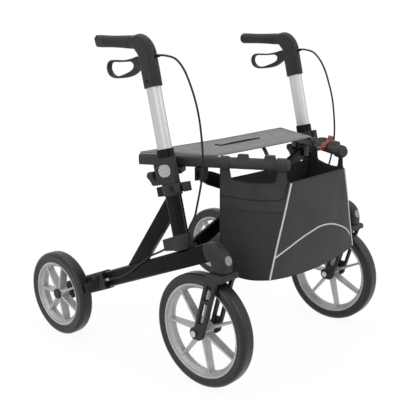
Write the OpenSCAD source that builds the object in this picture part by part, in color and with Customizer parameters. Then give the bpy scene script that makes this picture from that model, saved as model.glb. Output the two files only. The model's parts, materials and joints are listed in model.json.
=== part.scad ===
// All terrain rollator: two side frames joined by a folding cross, with a fabric seat and a bag.
// Front is -Y, the user's left is +X, up is +Z. The origin lies on the floor under the middle.

/* [Wheels] */
// Outer radius of the front tyre
front_r = 140; // [125:1:150]
// Width of the front tyre
front_tyre_w = 40; // [30:1:44]
// Height of the front tyre's section above the rim
front_tyre_h = 22; // [14:1:30]
// Outer radius of the rear tyre
rear_r = 116.5; // [105:0.5:125]
// Width of the rear tyre
rear_tyre_w = 38; // [30:1:44]
// Height of the rear tyre's section above the rim
rear_tyre_h = 19.5; // [14:0.5:26]
// Radius of a tyre's shoulders
tyre_round = 11; // [6:0.5:13]
// Distance between the front and rear axles
wheel_base = 496; // [470:1:520]
// Distance between the middles of the front wheels
front_track = 552.4; // [530:0.2:580]
// Distance between the middles of the rear wheels
rear_track = 646.6; // [640:0.2:680]
// Number of spokes in a wheel
spoke_n = 7; // [5:1:9]
// Thickness of a spoke
spoke_t = 6; // [4:0.5:9]
// Width of a spoke along the axle
spoke_w = 25; // [16:1:30]
// Width of a rim
rim_w = 34; // [28:1:36]
// Depth of a rim's barrel towards the hub
rim_depth = 14; // [10:1:20]
// Radius of a wheel hub
hub_r = 16; // [13:0.5:20]
// Radius of the axles
axle_r = 6; // [5:0.5:8]

/* [Side frames] */
// Slope of the lower beam
beam_angle = 23.1; // [21:0.1:25]
// Width of the lower beam
beam_w = 26; // [22:1:30]
// Height of the lower beam
beam_h = 43; // [38:1:46]
// Wall of the lower beam
beam_wall = 2.5; // [1.5:0.5:4]
// Distance of a front axle behind its steering axis
trail = 55; // [45:1:65]
// Half the depth of the caster head
head_r = 22; // [20:0.5:24]
// Bend radius of the caster head
head_bend_r = 26; // [25:0.5:30]
// Length of the caster head's straight end
head_l = 13; // [8:0.5:16]
// Distance of the upright outside the beam
upright_off = 3.8; // [2:0.2:6]
// Backward lean of the upright
lean = 13.8; // [12:0.1:15]
// Place of the upright along the frame at seat height
upright_y = -121; // [-126:0.5:-116]
// Wall of the upright
upright_wall = 1.2; // [1:0.1:2]
// Width of the brace
brace_w = 40; // [30:1:46]
// Thickness of the brace
brace_t = 12; // [8:1:16]
// Slope of the brace from upright
brace_angle = 35.2; // [33:0.1:37]
// Distance below the seat where the brace meets the upright
brace_drop = 102; // [95:1:108]
// Length of the foot block behind the upright's middle
foot_l = 60; // [52:1:66]
// Height of the foot block above the beam
foot_h = 36.5; // [30:0.5:42]
// Width of the foot block
foot_w = 32; // [30:0.5:36]

/* [Handles] */
// Width of the handle tube
tube_w = 25; // [22:0.5:27]
// Depth of the handle tube
tube_d = 40; // [36:0.5:42]
// Wall of the handle tube
tube_wall = 2.5; // [1.5:0.5:4]
// Length of silver tube between the housing and the handle
tube_show = 145; // [125:1:160]
// Width of the handle shell
shell_w = 30; // [29:0.5:32]
// Depth of the handle shell
shell_d = 50; // [46:0.5:52]
// Length of the handle shell's straight sleeve
shell_l = 72; // [64:1:80]
// Bend radius of the handle shell
shell_bend_r = 40; // [36:0.5:44]
// Length of the grip
grip_l = 144; // [125:1:150]
// Radius of the grip
grip_r = 14.5; // [13:0.25:16]
// Length of the brake lever from pivot to tip
lever_l = 138; // [125:1:145]
// Height of the brake lever's loop
lever_h = 46; // [40:1:50]
// Thickness of the brake lever
lever_t = 16; // [10:0.5:18]
// Diameter of the brake cable
cable_d = 5; // [4:0.5:6]

/* [Seat and fold] */
// Height of the seat rails' top
seat_z = 540; // [530:1:550]
// Width of a seat rail
rail_w = 22; // [18:0.5:23]
// Height of a seat rail
rail_h = 26; // [22:0.5:30]
// Radius of a rail's round front bar
rail_bar_r = 13.5; // [11:0.25:14.5]
// Angle of a seat rail to the walking direction
rail_angle = 28.3; // [27:0.1:29]
// Length of a seat rail behind its pin
rail_rear = 148; // [130:1:155]
// Length of a seat rail in front of its pin
rail_front = 213; // [205:1:220]
// Distance of a rail pin from the middle
pin_x = 217; // [212:0.5:220]
// Distance of a cross bar's lower pivot from the middle
pivot_x = 246; // [242:0.5:250]
// Height of the lower pivots
pivot_z = 316; // [310:1:322]
// Distance of the upper pivots below the seat
pin_drop = 46; // [43:0.5:50]
// Place of the fold along the frame
fold_y = -168.4; // [-172:0.2:-165]
// Thickness of a cross bar
bar_t = 9; // [7:0.5:10]
// Width of a cross bar
bar_w = 34; // [28:1:36]
// Radius of a cross bar's eyes
eye_r = 12; // [10:0.5:13]
// Radius of the pivot pins
pin_r = 5; // [4:0.25:6]
// Thickness of the seat cloth
seat_t = 3; // [2:0.5:4]
// Width of the seat at its back edge
seat_back_w = 566; // [556:1:574]
// Width of the seat at its front edge
seat_front_w = 390; // [382:1:398]
// Depth of the seat
seat_d = 169; // [160:1:180]

/* [Bag] */
// Thickness of the bag's cloth
bag_t = 3; // [2:0.5:4]
// Width of the bag's front at the top
bag_top_w = 226; // [210:1:240]
// Width of the bag's front at the bottom
bag_bottom_w = 356; // [340:1:370]
// Width of the bag's back
bag_back_w = 378; // [365:1:390]
// Depth of the bag
bag_d = 150; // [140:1:155]
// Height of the bag's front
bag_h = 222; // [200:1:235]

/* [Hidden] */
$fn = 64;
overrun = 1;
run_gap = 0.05;
fit_gap = 0.05;
slide_gap = 0.35;
part_gap = 0.3;
tyre_gap = 0.3;
hull_fn = 32;

// Colours seen on the object
frame_black = "#1f1f1f";
moulded_grey = "#3d3d3d";
tube_silver = "#d2d2d2";
rim_grey = "#989898";
tyre_grey = "#393939";
steel = "#b8b8b8";
cloth_grey = "#8a8a8a";
bag_grey = "#434343";
clip_red = "#b02a2e";

// Places of the wheels: the tyres' outer edges are equally far from the origin
overall_l = front_r + wheel_base + rear_r;
front_axle_y = front_r - overall_l / 2;
rear_axle_y = overall_l / 2 - rear_r;
frame_x = front_track / 2;
rear_x = rear_track / 2;
front_rim_r = front_r - front_tyre_h;
rear_rim_r = rear_r - rear_tyre_h;

// Wheel details
rim_edge = 4;
spoke_turn = 12;
rim_flat_share = 0.35;
front_hub_l = 44;
hub_out = 13;
hub_in = 15;
cap_r = 14.5;
cap_t = 5;

// Caster
steer_y = front_axle_y - trail;
head_end_y = steer_y + head_bend_r * (1 + sin(beam_angle));
head_end_z = rear_r + (rear_axle_y - head_end_y) * tan(beam_angle);
head_bend_z = head_end_z - head_bend_r * cos(beam_angle);
head_z = head_bend_z - head_l;
head_w = 41;
head_round = 13;
stem_r = 8;
stem_l = 36;
head_gap = 3;
washer_r = 17;
crown_z = head_z - head_gap;
crown_t = 16;
crown_round = 13;
crown_front = 22.5;
crown_back = 20;
leg_in = 24.5;
leg_t = 9.5;
leg_out = leg_in + leg_t;
leg_lead = 10;
leg_end_w = 30;
leg_mid_w = 33;
leg_mid_share = 0.19;
leg_eye_r = 15;
window_w = 16;
window_shares = [[0.17, 0.42], [0.48, 0.82]];
bolt_r = 8;
bolt_h = 6;
head_reflector_r = 11;
head_reflector_tilt = 18;
reflector_t = 2.5;
reflector_proud = 1;

// Beam and brake
beam_round = 8;
brake_past = 43.5;
brake_l = rear_r + brake_past;
brake_w = 36;
brake_h = 50;
brake_round = 10;
socket_l = 30;
beam_back = brake_l - socket_l;
beam_front = (rear_axle_y - head_end_y) / cos(beam_angle);
ridge_h = 26;
ridge_t = 6;
ridge_back = 62;
ridge_front = 106;
adjuster_r = 4.5;
adjuster_l = 14;
adjuster_off = 16.8;
arm_t = 6;
arm_gap = 0.6;
arm_past = 23.5;
arm_pivot_t = rear_r + arm_past;
arm_pivot_z = 14;
arm_pin_r = 4;
arm_pin_head_r = 6;
arm_eye_r = 9;
shoe_gap = 2.2;
shoe_l = 9;
shoe_h = 24;
shoe_drop = 6;
shoe_w = 34;

// Upright, foot and housing
bore_w = tube_w + 2 * slide_gap;
bore_d = tube_d + 2 * slide_gap;
upright_w = bore_w + 2 * upright_wall;
upright_d = bore_d + 2 * upright_wall;
upright_x = frame_x + upright_off;
upright_top = 3;
upright_foot_z = rear_r + (rear_axle_y - upright_y) * tan(beam_angle) + beam_h / 2 / cos(beam_angle);
upright_reach = (seat_z - upright_foot_z) * cos(beam_angle) / cos(beam_angle - lean);
upright_l = upright_top + upright_reach - upright_d / 2 * tan(beam_angle - lean) - fit_gap;
brace_top_y = upright_y - brace_drop * sin(lean);
brace_top_z = seat_z - brace_drop * cos(lean);
brace_high = (brace_top_z - rear_r) * cos(beam_angle) - (rear_axle_y - brace_top_y) * sin(beam_angle);
brace_slope = 90 - brace_angle - beam_angle;
brace_l = brace_high / sin(brace_slope) + brace_w / 2 / tan(brace_slope);
foot_wall = 2;
foot_lead = 14;
foot_round = 6;
cheek_sink = 12;
lug_t = 6;
housing_l = 61;
housing_drop = 4;
housing_front = 33;
housing_back = 34;
housing_out = 17;
housing_wall = 2.4;
housing_round = 5;
collar_h = 16;
collar_wall = 1.4;
side_reflector_h = 29;
side_reflector_l = 40;
side_reflector_y = -3;
side_reflector_drop = 34;
saddle_l = 26;
saddle_h = 12;
saddle_back = 50;
knob_drop = 43;
knob_r = 14;
knob_lobe_r = 9.5;
knob_reach = 11;
knob_t = 20;
knob_neck_r = 9;
knob_neck = 5;
knob_shaft_r = 5;

// Handle
tube_foot = -115;
tube_insert = 28;
shell_z = upright_top + collar_h + tube_show;
tube_top = shell_z + tube_insert;
bend_z = shell_z + shell_l;
bend_angle = 90 - lean;
shell_depth_shares = [0.985, 0.985, 0.98, 0.975, 0.97, 0.96, 0.94, 0.9, 0.8, 0.66];
shell_width_shares = [0.985, 0.985, 0.985, 0.985, 0.985, 0.985, 0.98, 0.98, 0.97, 0.96];
shell_sides = 28;
shell_sink = 4;
stub_r = 10;
stub_l = 112;
lever_slot_w = lever_t + 2 * part_gap;
lever_pivot_y = 13;
lever_pivot_up = 63;
lever_pin_r = 3;
lever_eye_r = 8.5;
lever_slot_top = 17;
lever_slot_low = 20;
screw_r = 3;
screw_up = 14;
screw_depth = 2;
screw_back_share = 0.12;
grip_bulge = 1;
grip_round = 3;
grip_waist_shares = [0.3, 0.7];

// Fold
frame_gap = 0.4;
bar_gap = 2;
bar_off = (bar_t + bar_gap) / 2;
pin_z = seat_z - pin_drop;
rail_z = seat_z - rail_h / 2;
rail_round = 7;
rail_bar_start = 46;
rail_nose = 4;
rail_nose_r = 10;
stud_r = 6;
stud_l = 20;
yoke_cheek_r = 12;
bar_l = norm([pivot_x + pin_x, pin_z - pivot_z]);
bar_angle = atan2(pin_z - pivot_z, pivot_x + pin_x);
bar_mid = bar_l * pivot_x / (pivot_x + pin_x);
bar_taper = 30;
bolt_shank_r = 6;
bolt_head_r = 11;
bolt_head_h = 5;
humps = [[87, 121], [150, 184]];
hump_h = 8;
hump_slope = 6;
hump_w = 15;
clip_s = 124;
clip_l = 22;
clip_r = 17.5;
clip_wing = 8;
strap_l = 160;
strap_w = 21;
strap_t = 2;
strap_back = 60;
seat_back_y = -34;

// Cane clip
cane_r = 10.5;
cane_wall = 3.5;
cane_h = 27.5;
cane_ring_h = 21;
cane_block_h = 23;
cane_drop = 90;
cane_front = 53;
cane_out = 9;
cane_collar = 3.5;
cane_block = 20;
cane_block_w = 16;

// Bag
bag_top_z = 485;
loop_w = 22;
loop_t = 2.5;
loop_s = [68, 196];
bag_front_y = -362;
bag_belly = 5;
bag_sag = 12;
bag_lean = 8;
bag_inset = 1.85;

// Route of the brake cable on the left side, from the handle to the brake
cable_route = [
    [280, -91, 769], [278, -106, 772], [275, -122, 771], [273, -145, 766], [272, -163, 753],
    [272, -178, 735], [272, -191, 712], [271, -202, 686], [271, -212, 658], [271, -219, 630],
    [271, -223, 606], [271, -226, 582], [271, -228, 558], [271, -228, 534], [271, -226, 510],
    [271, -222, 486], [271, -216, 460], [270, -209, 436], [268, -201, 412], [265, -190, 395],
    [261, -178, 380], [256, -168, 366], [253.5, -158, 355], [253, -147, 347], [253, -135, 340],
    [253.5, -122, 331], [255, -111, 321.5], [259, -102, 312], [265, -93, 304], [272, -84, 297.5],
    [280, -75, 292.5], [287, -65, 286], [291, -54, 276], [292, -40, 265], [292, -25, 253.5],
    [292.5, -8, 239.5], [293, 10, 226], [293, 40, 208.5], [293, 69, 196.5], [293, 98, 185.5]
];
cable_sides = 8;
cable_steps = 2;

module side(name) {
    if (name == "left") {
        children();
    } else {
        mirror([1, 0, 0]) children();
    }
}

// Stadium with its long axis along Y
module slot2d(w, d) {
    square([w, d - w], center = true);
    for (s = [-1, 1]) {
        translate([0, s * (d - w) / 2]) circle(d = w);
    }
}

module round_rect2d(w, h, r) {
    square([w - 2 * r, h], center = true);
    square([w, h - 2 * r], center = true);
    for (sx = [-1, 1], sy = [-1, 1]) {
        translate([sx * (w / 2 - r), sy * (h / 2 - r)]) circle(r);
    }
}

// Draws a shape of the side view, Y across and Z up, with thickness t along X
module side_plate(t) {
    rotate([90, 0, 90]) translate([0, 0, -t / 2]) linear_extrude(t) children();
}

module cross_pin(r, l) {
    rotate([0, 90, 0]) cylinder(r = r, h = l, center = true);
}

module on_upright(d) {
    translate([upright_x, upright_y, seat_z]) rotate([-lean, 0, 0]) translate([0, 0, d]) children();
}

module on_beam(t) {
    translate([frame_x, rear_axle_y, rear_r]) rotate([-beam_angle, 0, 0]) translate([0, -t, 0]) children();
}

// Length along the beam, from t0 to t1
module beam_bar(t0, t1) {
    on_beam(t0) rotate([90, 0, 0]) linear_extrude(t1 - t0) children();
}

module on_rail() {
    translate([pin_x, fold_y, rail_z]) rotate([0, 0, -rail_angle]) children();
}

// Length along the rail, from s0 behind the pin to s1 in front of it
module rail_bar(s0, s1) {
    on_rail() translate([0, -s0, 0]) rotate([90, 0, 0]) linear_extrude(s1 - s0) children();
}

module beam_outline(gap) {
    round_rect2d(beam_w + 2 * gap, beam_h + 2 * gap, beam_round);
}

module beam() {
    color(frame_black) difference() {
        beam_bar(beam_back, beam_front) beam_outline(0);
        beam_bar(beam_back - overrun, beam_front + overrun)
            round_rect2d(beam_w - 2 * beam_wall, beam_h - 2 * beam_wall, beam_round - beam_wall);
    }
}

module upright_outline(gap) {
    slot2d(upright_w + 2 * gap, upright_d + 2 * gap);
}

module upright() {
    color(frame_black) difference() {
        on_upright(upright_top - upright_l) linear_extrude(upright_l) upright_outline(0);
        on_upright(upright_top - upright_l - overrun)
            linear_extrude(upright_l + 2 * overrun) slot2d(bore_w, bore_d);
        knob_hole(knob_shaft_r + part_gap);
    }
}

module brace() {
    color(frame_black) difference() {
        on_upright(-brace_drop) rotate([lean + brace_angle, 0, 0]) translate([0, 0, -brace_l])
            linear_extrude(brace_l) square([brace_t, brace_w], center = true);
        on_upright(-upright_l - brace_drop) linear_extrude(2 * upright_l) upright_outline(fit_gap);
        beam_bar(0, beam_front) translate([0, -upright_l])
            square([2 * upright_w, beam_h + 2 * fit_gap + 2 * upright_l], center = true);
    }
}

module knob_hole(r) {
    on_upright(-knob_drop) rotate([-90, 0, 0]) cylinder(r = r, h = housing_back + overrun);
}

// Two cheeks that hold a cross bar's eye, with the pivot pin fixed in them
module cheeks(w, h) {
    for (s = [-1, 1]) {
        translate([0, s * (bar_t / 2 + frame_gap + lug_t / 2), 0]) rotate([90, 0, 0])
            linear_extrude(lug_t, center = true) {
                circle(yoke_cheek_r);
                translate([-yoke_cheek_r, 0]) square([w + yoke_cheek_r, h]);
                translate([0, -yoke_cheek_r]) square([w, h + yoke_cheek_r]);
            }
    }
    rotate([90, 0, 0]) cylinder(r = pin_r, h = bar_t + 2 * frame_gap + lug_t, center = true);
}

// Collar round the upright's end with a block behind it; bar_y is the plane of the cross bar that it holds
module foot(bar_y) {
    foot_reach = frame_x - pivot_x - beam_w / 2 - part_gap;
    foot_x = frame_x + beam_w / 2 - foot_w / 2 - upright_x;
    block_z = rear_r + (rear_axle_y - bar_y) * tan(beam_angle) + beam_h / 2 / cos(beam_angle);
    color(moulded_grey) difference() {
        union() {
            intersection() {
                on_upright(-upright_reach) linear_extrude(upright_reach) {
                    slot2d(upright_w + 2 * foot_wall, upright_d + 2 * foot_wall);
                    translate([foot_x, (foot_l - foot_lead) / 2])
                        round_rect2d(foot_w, foot_l + foot_lead, foot_round);
                }
                beam_bar(0, beam_front) translate([0, (beam_h + foot_h) / 2 + fit_gap])
                    square([2 * foot_w, foot_h], center = true);
            }
            translate([pivot_x, bar_y, pivot_z]) cheeks(foot_reach, block_z - pivot_z + cheek_sink);
        }
        on_upright(upright_top - upright_l - overrun) linear_extrude(upright_l) upright_outline(fit_gap);
    }
}

module height_housing() {
    color(moulded_grey) difference() {
        union() {
            on_upright(upright_top - housing_drop - housing_l) linear_extrude(housing_l) {
                slot2d(upright_w + 2 * housing_wall, upright_d + 2 * housing_wall);
                translate([housing_out / 2, (housing_back - housing_front) / 2])
                    round_rect2d(housing_out, housing_back + housing_front, housing_round);
            }
            on_upright(upright_top - housing_drop) linear_extrude(housing_drop + collar_h)
                slot2d(upright_w + 2 * collar_wall, upright_d + 2 * collar_wall);
            saddle();
        }
        on_upright(upright_top - housing_drop - housing_l - overrun)
            linear_extrude(housing_drop + housing_l + overrun) upright_outline(fit_gap);
        on_upright(upright_top - overrun) linear_extrude(collar_h + 2 * overrun) slot2d(bore_w, bore_d);
        knob_hole(knob_shaft_r + run_gap);
        side_reflector(fit_gap, overrun);
    }
}

// Ledge on the housing that the seat rail rests on
module saddle() {
    translate([0, 0, seat_z - rail_h - saddle_h]) linear_extrude(saddle_h) difference() {
        translate([pin_x, fold_y]) rotate(-rail_angle) translate([-rail_w / 2, saddle_back - saddle_l / 2])
            square([2 * rail_w, saddle_l]);
        translate([upright_x, upright_y - upright_d]) square([2 * rail_w, 2 * upright_d]);
    }
}

module side_reflector(gap, extra) {
    on_upright(upright_top - side_reflector_drop)
        translate([housing_out - reflector_t - gap + reflector_proud, side_reflector_y, 0])
        rotate([0, 90, 0]) linear_extrude(reflector_t + gap + extra)
        slot2d(side_reflector_h + 2 * gap, side_reflector_l + 2 * gap);
}

module head_reflector(gap, extra) {
    translate([frame_x, steer_y + head_bend_r, head_bend_z]) rotate([90 - head_reflector_tilt, 0, 0])
        translate([0, 0, head_bend_r + head_r - reflector_t - gap + reflector_proud / 2])
        cylinder(r = head_reflector_r + gap, h = reflector_t + gap + extra);
}

module reflectors() {
    color(steel) {
        side_reflector(0, 0);
        head_reflector(0, 0);
    }
}

module caster_head() {
    color(moulded_grey) difference() {
        union() {
            translate([frame_x, steer_y + head_bend_r, head_bend_z]) rotate([90, 0, -90])
                rotate_extrude(angle = 90 + beam_angle) translate([head_bend_r, 0])
                round_rect2d(2 * head_r, head_w, head_round);
            translate([frame_x, steer_y, head_z]) linear_extrude(head_l)
                round_rect2d(head_w, 2 * head_r, head_round);
        }
        translate([frame_x, steer_y, head_z - overrun]) cylinder(r = stem_r + run_gap, h = stem_l + 2 * overrun);
        head_reflector(fit_gap, head_r);
    }
}

function leg_point(share, off) = [
    steer_y + (front_axle_y - leg_lead - steer_y) * share + off,
    crown_z + (front_r - crown_z) * share
];

module leg_outline() {
    difference() {
        union() {
            polygon([
                [steer_y - crown_front, crown_z], [steer_y + crown_back, crown_z],
                leg_point(leg_mid_share, leg_mid_w / 2), leg_point(1, leg_end_w / 2),
                leg_point(1, -leg_end_w / 2), leg_point(leg_mid_share, -leg_mid_w / 2)
            ]);
            translate([front_axle_y, front_r]) circle(leg_eye_r);
            translate(leg_point(1, 0)) circle(leg_end_w / 2);
        }
        for (w = window_shares) {
            polygon([
                leg_point(w[0], -window_w / 2), leg_point(w[0], window_w / 2),
                leg_point(w[1], window_w / 2), leg_point(w[1], -window_w / 2)
            ]);
        }
    }
}

module fork() {
    color(moulded_grey) translate([frame_x, 0, 0]) difference() {
        union() {
            intersection() {
                union() {
                    for (s = [-1, 1]) {
                        translate([s * (leg_in + leg_t / 2), 0, 0]) side_plate(leg_t) leg_outline();
                    }
                    translate([-leg_out, steer_y - crown_front, crown_z - crown_t])
                        cube([2 * leg_out, crown_front + crown_back, crown_t]);
                }
                translate([0, front_axle_y, crown_z - crown_z / 2]) rotate([90, 0, 0])
                    linear_extrude(4 * front_r, center = true)
                    round_rect2d(2 * leg_out, crown_z, crown_round);
            }
            translate([0, steer_y, crown_z - overrun])
                cylinder(r = washer_r, h = head_gap + overrun - part_gap);
            translate([0, steer_y, crown_z - overrun]) cylinder(r = stem_r, h = stem_l + overrun);
        }
        translate([0, front_axle_y, front_r]) cross_pin(axle_r + fit_gap, 2 * (leg_out + overrun));
    }
}

module front_axle() {
    color(steel) translate([frame_x, front_axle_y, front_r]) {
        cross_pin(axle_r, 2 * (leg_out + bolt_h / 2));
        for (s = [-1, 1]) {
            translate([s * (leg_out + bolt_h / 2), 0, 0]) cross_pin(bolt_r, bolt_h);
        }
    }
}

// Ring about the axle at the place x, y, z, from a section drawn with the radius across
module axle_ring(place) {
    translate(place) rotate([0, 90, 0]) rotate_extrude() children();
}

module tyre(place, r, w, h) {
    shoulder = min(tyre_round, (h - tyre_gap) / 2);
    color(tyre_grey) axle_ring(place) {
        translate([r - h + tyre_gap, -w / 2]) square([h - tyre_gap - shoulder, w]);
        translate([r - h + tyre_gap, shoulder - w / 2]) square([h - tyre_gap, w - 2 * shoulder]);
        for (s = [-1, 1]) {
            translate([r - shoulder, s * (w / 2 - shoulder)]) circle(shoulder);
        }
    }
}

// in_l and out_l are the hub's reach to each side of the rim's middle
module rim(place, r, in_l, out_l) {
    color(rim_grey) difference() {
        union() {
            axle_ring(place) polygon([
                [r, -rim_w / 2], [r, rim_w / 2], [r - rim_edge, rim_w / 2],
                [r - rim_depth, rim_w * rim_flat_share / 2], [r - rim_depth, -rim_w * rim_flat_share / 2],
                [r - rim_edge, -rim_w / 2]
            ]);
            translate(place) {
                translate([(out_l - in_l) / 2, 0, 0]) cross_pin(hub_r, in_l + out_l);
                for (i = [0 : spoke_n - 1]) {
                    rotate([spoke_turn + i * 360 / spoke_n, 0, 0]) translate([-spoke_w / 2, -spoke_t / 2, hub_r / 2])
                        cube([spoke_w, spoke_t, r - rim_depth / 2 - hub_r / 2]);
                }
            }
        }
        translate(place) cross_pin(axle_r + run_gap, 2 * rear_x);
    }
}

front_place = [frame_x, front_axle_y, front_r];
rear_place = [rear_x, rear_axle_y, rear_r];

module front_tyre() {
    tyre(front_place, front_r, front_tyre_w, front_tyre_h);
}

module front_rim() {
    rim(front_place, front_rim_r, front_hub_l / 2, front_hub_l / 2);
}

module rear_tyre() {
    tyre(rear_place, rear_r, rear_tyre_w, rear_tyre_h);
}

module rear_rim() {
    rim(rear_place, rear_rim_r, hub_in, hub_out);
}

module hub_cap() {
    color(moulded_grey) translate(rear_place) translate([hub_out + fit_gap + cap_t / 2, 0, 0])
        cross_pin(cap_r, cap_t);
}

module rear_axle() {
    axle_l = rear_x + hub_out - part_gap - frame_x + brake_w / 2;
    color(steel) translate([frame_x - brake_w / 2, rear_axle_y, rear_r])
        rotate([0, 90, 0]) cylinder(r = axle_r, h = axle_l);
}

module arm_place() {
    on_beam(arm_pivot_t) translate([brake_w / 2, 0, arm_pivot_z]) children();
}

module brake_housing() {
    color(moulded_grey) difference() {
        union() {
            beam_bar(0, brake_l) round_rect2d(brake_w, brake_h, brake_round);
            on_beam(0) cross_pin(brake_h / 2, brake_w);
            on_beam(0) translate([brake_w / 2 + ridge_t / 2 - overrun / 2, 0, -arm_pivot_z / 2])
                side_plate(ridge_t + overrun) polygon([
                    [-ridge_back, 0], [-ridge_back - ridge_h / 2, -ridge_h / 2],
                    [-ridge_front, -ridge_h / 2], [-ridge_front, ridge_h / 2]
                ]);
            on_beam(brake_l) translate([adjuster_off, 0, 0]) rotate([90, 0, 0])
                cylinder(r = adjuster_r, h = adjuster_l);
            arm_place() cross_pin(arm_pin_r, 2 * (arm_t + 2 * arm_gap));
            arm_place() translate([arm_t + 2 * arm_gap + arm_t / 2, 0, 0]) cross_pin(arm_pin_head_r, arm_t);
        }
        beam_bar(beam_back - fit_gap, brake_l + adjuster_l + overrun) beam_outline(fit_gap);
        translate([frame_x, rear_axle_y, rear_r]) cross_pin(axle_r + fit_gap, brake_w + 2 * overrun);
    }
}

// Arm with the shoe that presses on the tread of the rear tyre
module brake_arm() {
    shoe_t = rear_r + shoe_gap;
    shoe_x = brake_w / 2 + arm_gap;
    color(moulded_grey) difference() {
        union() {
            arm_place() translate([arm_gap + arm_t / 2, 0, 0]) cross_pin(arm_eye_r, arm_t);
            on_beam(0) translate([shoe_x + arm_t / 2, 0, 0]) side_plate(arm_t) polygon([
                [-arm_pivot_t - arm_eye_r, arm_pivot_z], [-arm_pivot_t + arm_eye_r, arm_pivot_z],
                [-shoe_t, shoe_h / 2 - shoe_drop], [-shoe_t, -shoe_h / 2 - shoe_drop],
                [-shoe_t - shoe_l, -shoe_h / 2 - shoe_drop]
            ]);
            on_beam(shoe_t + shoe_l) translate([shoe_x, 0, -shoe_h / 2 - shoe_drop])
                cube([shoe_w, 2 * shoe_l, shoe_h]);
        }
        translate(rear_place) cross_pin(shoe_t, 2 * rear_x);
        arm_place() cross_pin(arm_pin_r + run_gap, 2 * (arm_t + 2 * arm_gap + overrun));
    }
}

module handle_tube() {
    color(tube_silver) on_upright(tube_foot) difference() {
        linear_extrude(tube_top - tube_foot) slot2d(tube_w, tube_d);
        translate([0, 0, -overrun]) linear_extrude(tube_top - tube_foot + 2 * overrun)
            slot2d(tube_w - 2 * tube_wall, tube_d - 2 * tube_wall);
    }
}

module lever_place() {
    on_upright(shell_z + lever_pivot_up) translate([0, lever_pivot_y, 0]) rotate([lean, 0, 0]) children();
}

module on_bend(share) {
    on_upright(bend_z) translate([0, shell_bend_r, 0]) rotate([-bend_angle * share, 0, 0])
        translate([0, -shell_bend_r, 0]) children();
}

module grip_place() {
    on_bend(1) children();
}

// Points round a stadium with its long axis along Y, clockwise
function slot_points(w, d) = [
    for (k = [0 : shell_sides - 1])
        let (a = -360 * (k + 0.5) / shell_sides)
        [w / 2 * cos(a), w / 2 * sin(a) + sign(sin(a)) * (d - w) / 2]
];

// Ring of the handle's elbow: the first lies inside the sleeve, the others follow the bend
function elbow_ring(i) =
    let (
        a = bend_angle * max(i - 1, 0) / (len(shell_depth_shares) - 2),
        low = i == 0 ? shell_sink : 0,
        ring = slot_points(shell_w * shell_width_shares[i], shell_d * shell_depth_shares[i])
    )
    [for (q = ring) [q[0], shell_bend_r * (1 - cos(a)) + q[1] * cos(a), shell_bend_r * sin(a) - q[1] * sin(a) - low]];

// Closed skin over a row of rings, each with the same number of points
module skin(rings) {
    n = len(rings);
    sides = len(rings[0]);
    walls = [for (i = [0 : n - 2], k = [0 : sides - 1])
        let (a = i * sides + k, b = i * sides + (k + 1) % sides)
        each [[a, b, a + sides], [b, b + sides, a + sides]]];
    ends = [
        [for (k = [0 : sides - 1]) sides - 1 - k],
        [for (k = [0 : sides - 1]) (n - 1) * sides + k]
    ];
    polyhedron([for (r = rings) each r], concat(walls, ends));
}

module handle_shell() {
    color(moulded_grey) difference() {
        union() {
            on_upright(shell_z) linear_extrude(shell_l) slot2d(shell_w, shell_d);
            on_upright(bend_z)
                skin([for (i = [0 : len(shell_depth_shares) - 1]) elbow_ring(i)]);
            grip_place() translate([0, 0, -overrun]) cylinder(r = stub_r, h = stub_l + overrun);
        }
        on_upright(shell_z - overrun) linear_extrude(tube_top - shell_z + overrun)
            slot2d(tube_w + 2 * fit_gap, tube_d + 2 * fit_gap);
        lever_slot();
        on_upright(shell_z + screw_up) translate([shell_w / 2 - screw_depth, shell_d * screw_back_share, 0])
            rotate([0, 90, 0]) cylinder(r = screw_r, h = screw_depth + overrun);
    }
    color(moulded_grey) lever_place() cross_pin(lever_pin_r, lever_slot_w + overrun);
}

module lever_slot() {
    lever_place() translate([-lever_slot_w / 2, -lever_eye_r - overrun, -lever_slot_low])
        cube([lever_slot_w, shell_d, lever_slot_low + lever_slot_top]);
}

module grip() {
    color(moulded_grey) grip_place() difference() {
        rotate_extrude() polygon([
            [0, fit_gap], [grip_r + grip_bulge, fit_gap], [grip_r, grip_l * grip_waist_shares[0]],
            [grip_r, grip_l * grip_waist_shares[1]],
            [grip_r + grip_bulge, grip_l - grip_round], [grip_r + grip_bulge - grip_round, grip_l], [0, grip_l]
        ]);
        translate([0, 0, -overrun]) cylinder(r = stub_r + fit_gap, h = stub_l + overrun + part_gap);
    }
}

// Corners of the lever's loop, as shares of its length and height, with a radius share of its height
loop_shares = [[0.885, -0.3, 0.31], [0.81, -0.66, 0.33], [0.35, -0.23, 0.24], [0.36, -0.53, 0.22]];
hole_shares = [[0.86, -0.31, 0.17], [0.785, -0.63, 0.19], [0.4, -0.23, 0.1], [0.405, -0.48, 0.12]];

module lever_round(corner) {
    translate([corner[0] * lever_l, corner[1] * lever_h]) circle(corner[2] * lever_h, $fn = hull_fn);
}

module brake_lever() {
    color(moulded_grey) lever_place() difference() {
        side_plate(lever_t) difference() {
            union() {
                hull() {
                    for (c = loop_shares) {
                        lever_round(c);
                    }
                }
                hull() {
                    circle(lever_eye_r, $fn = hull_fn);
                    lever_round(loop_shares[2]);
                    lever_round(loop_shares[3]);
                }
            }
            hull() {
                for (c = hole_shares) {
                    lever_round(c);
                }
            }
        }
        cross_pin(lever_pin_r + run_gap, lever_t + 2 * overrun);
    }
}

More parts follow.
